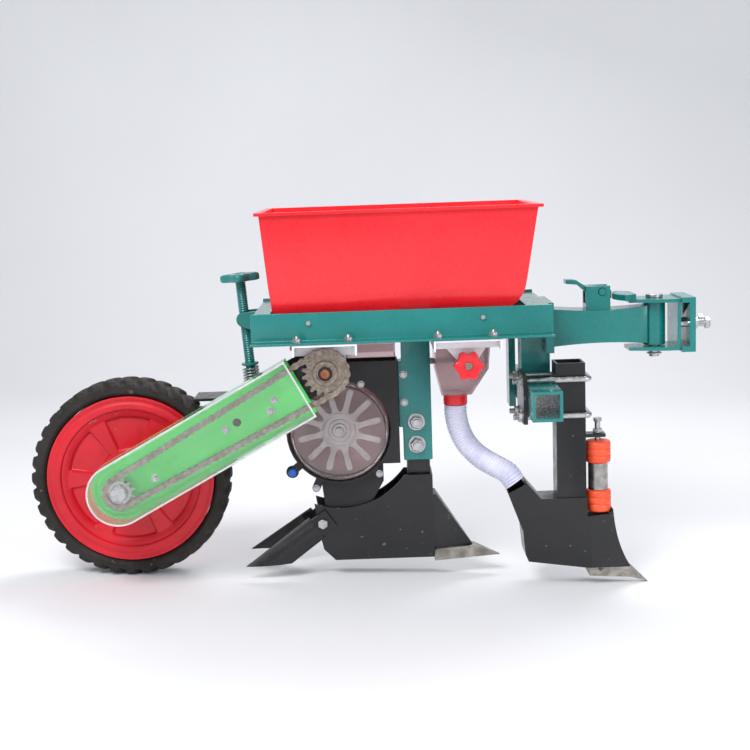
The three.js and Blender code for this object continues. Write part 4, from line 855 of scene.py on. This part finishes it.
def softened(outline, rounds=2):
    # each corner is cut twice: q = 3/4 a + 1/4 b and r = 1/4 a + 3/4 b on every edge a to b
    for _ in range(rounds):
        after = np.roll(outline, -1, 0)
        outline = np.stack([0.75 * outline + 0.25 * after, 0.25 * outline + 0.75 * after], 1).reshape(-1, 2)
    return outline


def seedDiscShape():
    # spoon corners at (turn, share) repeated round the axis and softened, with a turned hub and a rib
    spoon = np.array(seedDisc["spoon"])
    count = seedDisc["spoons"]
    angle = (np.arange(count)[:, None] + spoon[None, :, 0]).ravel() / count * full
    reach = np.tile(spoon[:, 1], count) * seedDisc["radius"] * mm
    centre = seedAt[[0, 2]]
    outer = softened(centre + np.stack([reach * np.cos(angle), reach * np.sin(angle)], -1))
    polar = np.arctan2(outer[:, 1] - centre[1], outer[:, 0] - centre[0])
    inner = centre + seedDisc["bore"] * mm * np.stack([np.cos(polar), np.sin(polar)], -1)
    blade = ringPlate(outer, inner, "y", seedDisc["low"] * mm, seedDisc["high"] * mm, seedDisc["edge"] * mm)
    hub = turned(seedDisc["hub"], seedAxis, seedDisc["sides"], looped=True)
    rib = ringShape(*seedDisc["rib"], seedAxis, seedDisc["ribEdge"], seedDisc["ribSides"])
    return joined(blade, hub, rib)


def lugOutline(spot):
    # a strip from the housing's round wall out to a half circle about the spot
    half = lug["half"] * mm
    centre = seedAt[[0, 2]]
    outward = unit(np.array(spot) - centre)
    sideways = np.array([-outward[1], outward[0]])
    t = np.linspace(-math.pi / 2, math.pi / 2, lug["arc"])
    tip = np.array(spot) + half * onArc(t, outward, sideways)
    start = centre + lug["root"] * mm * outward
    return np.concatenate([[start - half * sideways], tip, [start + half * sideways]])


seedAxis = (seedAt[0], 0, seedAt[2])
addPiece("meterCover", turned(cover["profile"], (seedAt[0], meterFace, seedAt[2]), cover["sides"]), "frame",
         "clear_cover", replaces=["seed_meter_cover"])
addPiece("seedWheel", seedDiscShape(), "seed_disc", "cast_aluminium", replaces=["seed_wheel"], sharp=30)
disk = ringShape(backDisc["bore"], backDisc["radius"], backDisc["low"], backDisc["high"], seedAxis,
                 backDisc["edge"], backDisc["sides"])
addPiece("meterBackDisc", disk, "frame", "hopper_red", finish="meterRose")
lugs = [plate(lugOutline(spot), "y", meterFace + lug["front"] * mm, meterFace + lug["back"] * mm,
              lug["edge"] * mm) for spot in (*meterScrews[:2], latchAt)]
addPiece("meterLugs", joined(*lugs), "frame", "black_plastic")
screwSpots = [(x, meterFace + 0.3 * mm, z) for x, z in meterScrews]
addBolts("meterScrews", screwSpots, (0, -1, 0), meterScrewRadius)
latchSpot = (latchAt[0], meterFace + lug["front"] * mm, latchAt[1])
addPiece("latchFlange", turned(latchFlange["profile"], latchSpot, latchFlange["sides"]), "frame",
         "black_plastic")
addPiece("latchKnob", lobed(latchKnob, latchSpot, (0, 1, 0)), "frame", "black_plastic", finish="knobBlue")
print("seed meter")

# chain case: cover bolts, a white strip of painted highlight along the clear cover's rim, raised rings, and a
# black disc of painted shade for the sight hole
case = dict(radius=53, stop=47, front=-0.150, back=-0.110, arc=49, side=30, rim=(0.3, 3.2, 0.1, 1.4, 0.2),
            rib=(9, 10.4, -1.0, 0.3, 0.3), rings=(30, 38, 46), ringWidth=1.3, ringEdge=0.4, sides=96)
caseBolts = ((-0.7246, -0.106), (-0.7178, -0.0886), (-0.800, -0.1343), (-0.921, -0.2125))
sightHole = dict(place=(-0.7876, -0.131), radius=7, sides=32, low=-0.6, high=0.3, edge=0.2)
axleNut = dict(depth=13, radius=8.82)
caseBoltRadius = 3


def caseOutline(shrink):
    # a half circle about the wheel's axis, closed by two straight sides and a cut before the input shaft
    arm = (wheelAt - inputAt)[[0, 2]]
    length, along = np.linalg.norm(arm), unit(arm)
    aside = np.array([-along[1], along[0]])
    r, start = (case["radius"] - shrink) * mm, (case["stop"] + shrink) * mm
    t = np.linspace(math.pi / 2, -math.pi / 2, case["arc"])
    straight = np.linspace(start, length, case["side"])[:-1]
    distance = np.concatenate([straight, length + r * np.cos(t), straight[::-1]])
    offset = np.concatenate([np.full(len(straight), r), r * np.sin(t), np.full(len(straight), -r)])
    return inputAt[[0, 2]] + distance[:, None] * along + offset[:, None] * aside


def caseStrip(outer, inner, face, low, high, edge):
    # a closed strip between two shrunk case outlines, standing on a face of the case
    low, high = face + low * mm, face + high * mm
    return ringPlate(caseOutline(outer), caseOutline(inner), "y", low, high, edge * mm)


def addCaseDetails():
    # each ring is turned about the wheel's axis: radius minus ringWidth to radius, 1.3 mm deep
    # a white strip just inside the clear cover's rim paints the highlight that light makes on the cover's
    # bevelled border
    outer, inner, low, high, edge = case["rim"]
    addPiece("caseCoverRim", caseStrip(outer, inner, case["front"], low, high, edge), "wheel_arm",
             "clear_cover", finish="whitePlastic")
    spots = [(x, case["front"], z) for x, z in caseBolts]
    addBolts("caseBolts", spots, (0, -1, 0), caseBoltRadius, "wheel_arm")
    outer, inner, low, high, edge = case["rib"]
    centre = (wheelAt[0], case["back"], wheelAt[2])
    rings = [ringShape(r - case["ringWidth"], r, low, high, centre, case["ringEdge"], case["sides"])
             for r in case["rings"]]
    rib = caseStrip(outer, inner, case["back"], low, high, edge)
    addPiece("caseRings", joined(rib, *rings), "wheel_arm", "case_green")
    # the sight hole is not cut: a flat black disc on the case back paints the shade inside it
    t = turnSteps(sightHole["sides"])
    circle = np.array(sightHole["place"]) + sightHole["radius"] * mm * np.stack([np.cos(t), np.sin(t)], -1)
    hole = plate(circle, "y", case["back"] + sightHole["low"] * mm, case["back"] + sightHole["high"] * mm,
                 sightHole["edge"] * mm)
    addPiece("caseHole", hole, "wheel_arm", "case_green", finish="darkBore")
    nearEnd, farEnd = (corner[1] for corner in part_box("wheel_axle"))
    depth = axleNut["depth"] * mm
    for name, y, way in (("nearAxleNut", nearEnd + depth, -1), ("farAxleNut", farEnd - depth, 1)):
        addBolts(name, [(wheelAt[0], y, wheelAt[2])], (0, way, 0), axleNut["radius"], "wheel")


addCaseDetails()
print("chain case")

# rate knob: millimetres along Y
dial = dict(radius=25, lobes=6, depth=2.5, sides=192, neckSides=40, profile=(
    (0.34, -135.4), (0.36, -136.8), (0.6, -137.1), (0.9, -138), (0.97, -137.2), (1, -135.6), (1, -121.6),
    (0.95, -120), (0.3, -120)), neck=((1, -121), (11, -121), (11, -112.6), (1, -112.6)),
    cap=((1, -135), (6.6, -135), (6.6, -137.1), (5.6, -137.9), (1, -137.9)))
feedAxis = (feedAt[0], 0, feedAt[2])
dialHead = lobed(dial, feedAxis, (0, 1, 0))
dialNeck = turned(dial["neck"], feedAxis, dial["neckSides"])
addPiece("rateKnob", joined(dialHead, dialNeck), "knob", "hopper_red", replaces=["rate_knob"])
addPiece("rateKnobCap", turned(dial["cap"], feedAxis, dial["neckSides"]), "knob", "hopper_red",
         finish="chainSteel")
print("rate knob")

# weeding roller: the caps' profile counts up from each cap's lower face
roller = dict(place=(-0.1715, -0.055, 0), sides=72, tubeSides=64, upper=-231, lower=-317,
              cap=((5.5, 0), (18.4, 0), (21.4, 1.4), (22, 3.6), (22, 12), (21.1, 13), (22, 14), (22, 24),
                   (21.1, 25), (22, 26), (22, 34), (20.6, 36.8), (17.6, 38), (5.5, 38)),
              tube=((5.5, -278.7), (16.4, -278.7), (17, -278), (17, -232), (16.4, -231.3), (5.5, -231.3)))
for name, node, low in (("rollerUpperCap", "roller_cap_upper", roller["upper"]),
                        ("rollerLowerCap", "roller_cap_lower", roller["lower"])):
    profile = np.array(roller["cap"]) + (0, low)
    addPiece(name, turned(profile, roller["place"], roller["sides"], (0, 0, 1), looped=True), "weed_roller",
             "orange_plastic", replaces=[node], sharp=50)
barrel = turned(roller["tube"], roller["place"], roller["tubeSides"], (0, 0, 1), looped=True)
addPiece("rollerTube", barrel, "weed_roller", "raw_steel", replaces=["roller_tube"])
print("roller")

# threads on the adjusting bolts, the kingpin's clip and the weld beads
adjuster = dict(x=9, y=24, length=11, radius=6.25, pitch=1.75, depth=0.8, sides=20)
clip = dict(radius=12, wire=1.3, rise=6, around=40, sides=10)
bead = dict(radius=1.9, ripple=0.16, wave=4, step=0.8, sides=10, endShare=0.4, across=(0.31, 0.2, 0.93))
hangerSeam = dict(x=(-0.296, -0.246), y=(-0.013, 0.037), z=-0.087)
legSeam = dict(y=(-0.025, 0.025), z=0.0, inset=7)
for side, name in ((-1, "nearAdjusterThread"), (1, "farAdjusterThread")):
    spot = (adjuster["x"] * mm, side * adjuster["y"] * mm, 0)
    shape = threaded(adjuster, 0, adjuster["length"] * mm, spot, (1, 0, 0))
    addPiece(name, shape, "hitch_head", "zinc")
t = turnSteps(clip["around"])
clipPath = np.stack([pivots["hitch_swing"][0] + clip["radius"] * mm * np.cos(t),
                     clip["radius"] * mm * np.sin(t),
                     np.full(len(t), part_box("kingpin")[0][2] + clip["rise"] * mm)], -1)
addPiece("kingpinClip", sweep(clipPath, clip["wire"] * mm, clip["sides"], looped=True), "hitch_head", "zinc")


def beadShape(corners):
    # a ripple along straight runs: radius = r * (1 + ripple * sin(2 pi s / wave)), sunk half into both plates
    corners = np.asarray(corners, float)
    run = runLength(corners)
    at = np.linspace(0, run[-1], max(12, int(run[-1] / (bead["step"] * mm))))
    path = placesAt(corners, run, at)
    radius = bead["radius"] * mm * (1 + bead["ripple"] * np.sin(at / (bead["wave"] * mm) * full))
    radius[[0, -1]] *= bead["endShare"]
    return sweep(path, radius, bead["sides"], bead["across"])


def seams(x, y, z):
    # the four straight seams round a post at one height
    (a, b), (c, d) = x, y
    corners = [(a, c, z), (b, c, z), (b, d, z), (a, d, z)]
    return [[corners[k], corners[(k + 1) % 4]] for k in range(4)]


legSpan = (legLow[0] + legSeam["inset"] * mm, legHigh[0])
tealSeams = seams(**hangerSeam) + seams(legSpan, legSeam["y"], legSeam["z"])[:3]
addPiece("frameWelds", joined(*[beadShape(seam) for seam in tealSeams]), "frame", "teal", sharp=60)
print("welds")

# red skirts that close the gap between the hopper's two funnels, and the trays' white end bands
skirt = dict(x=(204, 309), floor=36, columns=40, rows=8, out=0.3, thick=1.8, over=3, origin=(752, 3),
             ridge=((204, 37), (238, 58), (272, 72), (306, 58), (309, 38)),
             wall=((14, 92), (50, 118), (94, 136)))
bands = dict(seedTrayBand=("seed_tray", -21), fertilizerTrayBand=("fertilizer_tray", -17))
band = dict(top=2, margin=1, front=-0.1195, back=-0.1170, edge=0.5)


def skirtShape(side):
    # z runs from the floor line to just over the funnels' ridge; y follows the hopper's leaning wall
    x = np.linspace(*skirt["x"], skirt["columns"])
    top = np.interp(x, *np.array(skirt["ridge"], float).T) + skirt["over"]
    share = np.linspace(0, 1, skirt["rows"])[:, None]
    z = skirt["floor"] + (top[None] - skirt["floor"]) * share
    y = np.interp(z, *np.array(skirt["wall"], float).T)
    wide = np.broadcast_to(x[None], z.shape)
    shiftX, shiftZ = skirt["origin"]
    outside, inside = [np.stack([wide - shiftX, side * (y + shift), z + shiftZ], -1) * mm
                       for shift in (skirt["out"], skirt["out"] - skirt["thick"])]
    return gridShape(np.concatenate([outside, inside[::-1]]), wrapRows=True, wrapColumns=False)


for side, name in ((-1, "nearHopperSkirt"), (1, "farHopperSkirt")):
    addPiece(name, skirtShape(side), "frame", "hopper_red", sharp=60)
for name, (node, low) in bands.items():
    rear, front = (corner[0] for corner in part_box(node))
    rear, front, high = rear + band["margin"] * mm, front - band["margin"] * mm, band["top"] * mm
    flat = np.array([(rear, low * mm), (front, low * mm), (front, high), (rear, high)])
    addPiece(name, plate(flat, "y", band["front"], band["back"], band["edge"] * mm), "frame", "white_plastic")
print("skirts and bands")

# floor, backdrop and light: the floor touches the press wheel and the front share
floor = dict(touch=(-0.985, -0.4142), slope=-0.03792, width=4.5, front=-3.2, back=1.9, curve=1.1, rise=2.6,
             flatRows=12, arcRows=24)
lightTarget = (-0.5, 0, -0.1)
# name: place, size and power
lights = dict(keyLight=((-1.5, -1.9, 1.9), 1.3, 62), fillLight=((1.4, -2.2, 0.8), 1.8, 26),
              backLight=((0.1, 1.3, 1.9), 1.4, 36))
sky = dict(colour=(0.93, 0.95, 1.0, 1.0), strength=0.55)


def addFloor():
    # a flat run, a quarter circle and an upright run, all leaning with the ground's slope along X
    t = np.linspace(0, math.pi / 2, floor["arcRows"] + 1)[1:]
    y = np.concatenate([np.linspace(floor["front"], floor["back"], floor["flatRows"]),
                        floor["back"] + floor["curve"] * np.sin(t), [floor["back"] + floor["curve"]]])
    z = np.concatenate([np.zeros(floor["flatRows"]), floor["curve"] * (1 - np.cos(t)), [floor["rise"]]])
    x = np.linspace(-floor["width"], floor["width"], 3)
    startX, startZ = floor["touch"]
    ground = startZ + floor["slope"] * (x - startX)
    points = np.stack(np.broadcast_arrays(x[:, None], y[None], ground[:, None] + z[None]), -1)
    shape = gridShape(points, wrapColumns=False, capped=False)
    backdrop = makePiece("backdrop", shape, None, finishes["paper"], ridesOn=False)
    backdrop.data.flip_normals()


def addLight(name, place, size, power):
    # a round soft light that turns towards the target by a constraint
    data = bpy.data.lights.new(name, "AREA")
    data.energy = power
    data.shape, data.size = "DISK", size
    light = bpy.data.objects.new(name, data)
    light.location = place
    aim = bpy.data.objects.new(name + "Aim", None)
    aim.location = lightTarget
    track = light.constraints.new("TRACK_TO")
    track.target, track.track_axis, track.up_axis = aim, "TRACK_NEGATIVE_Z", "UP_Y"
    for item in (light, aim):
        bpy.context.scene.collection.objects.link(item)


def addSky():
    # one even colour from every side
    world = bpy.data.worlds.new("softSky")
    world.use_nodes = True
    background = world.node_tree.nodes["Background"]
    background.inputs["Color"].default_value = sky["colour"]
    background.inputs["Strength"].default_value = sky["strength"]
    bpy.context.scene.world = world


addFloor()
for name, (place, size, power) in lights.items():
    addLight(name, place, size, power)
addSky()
print("floor and light")
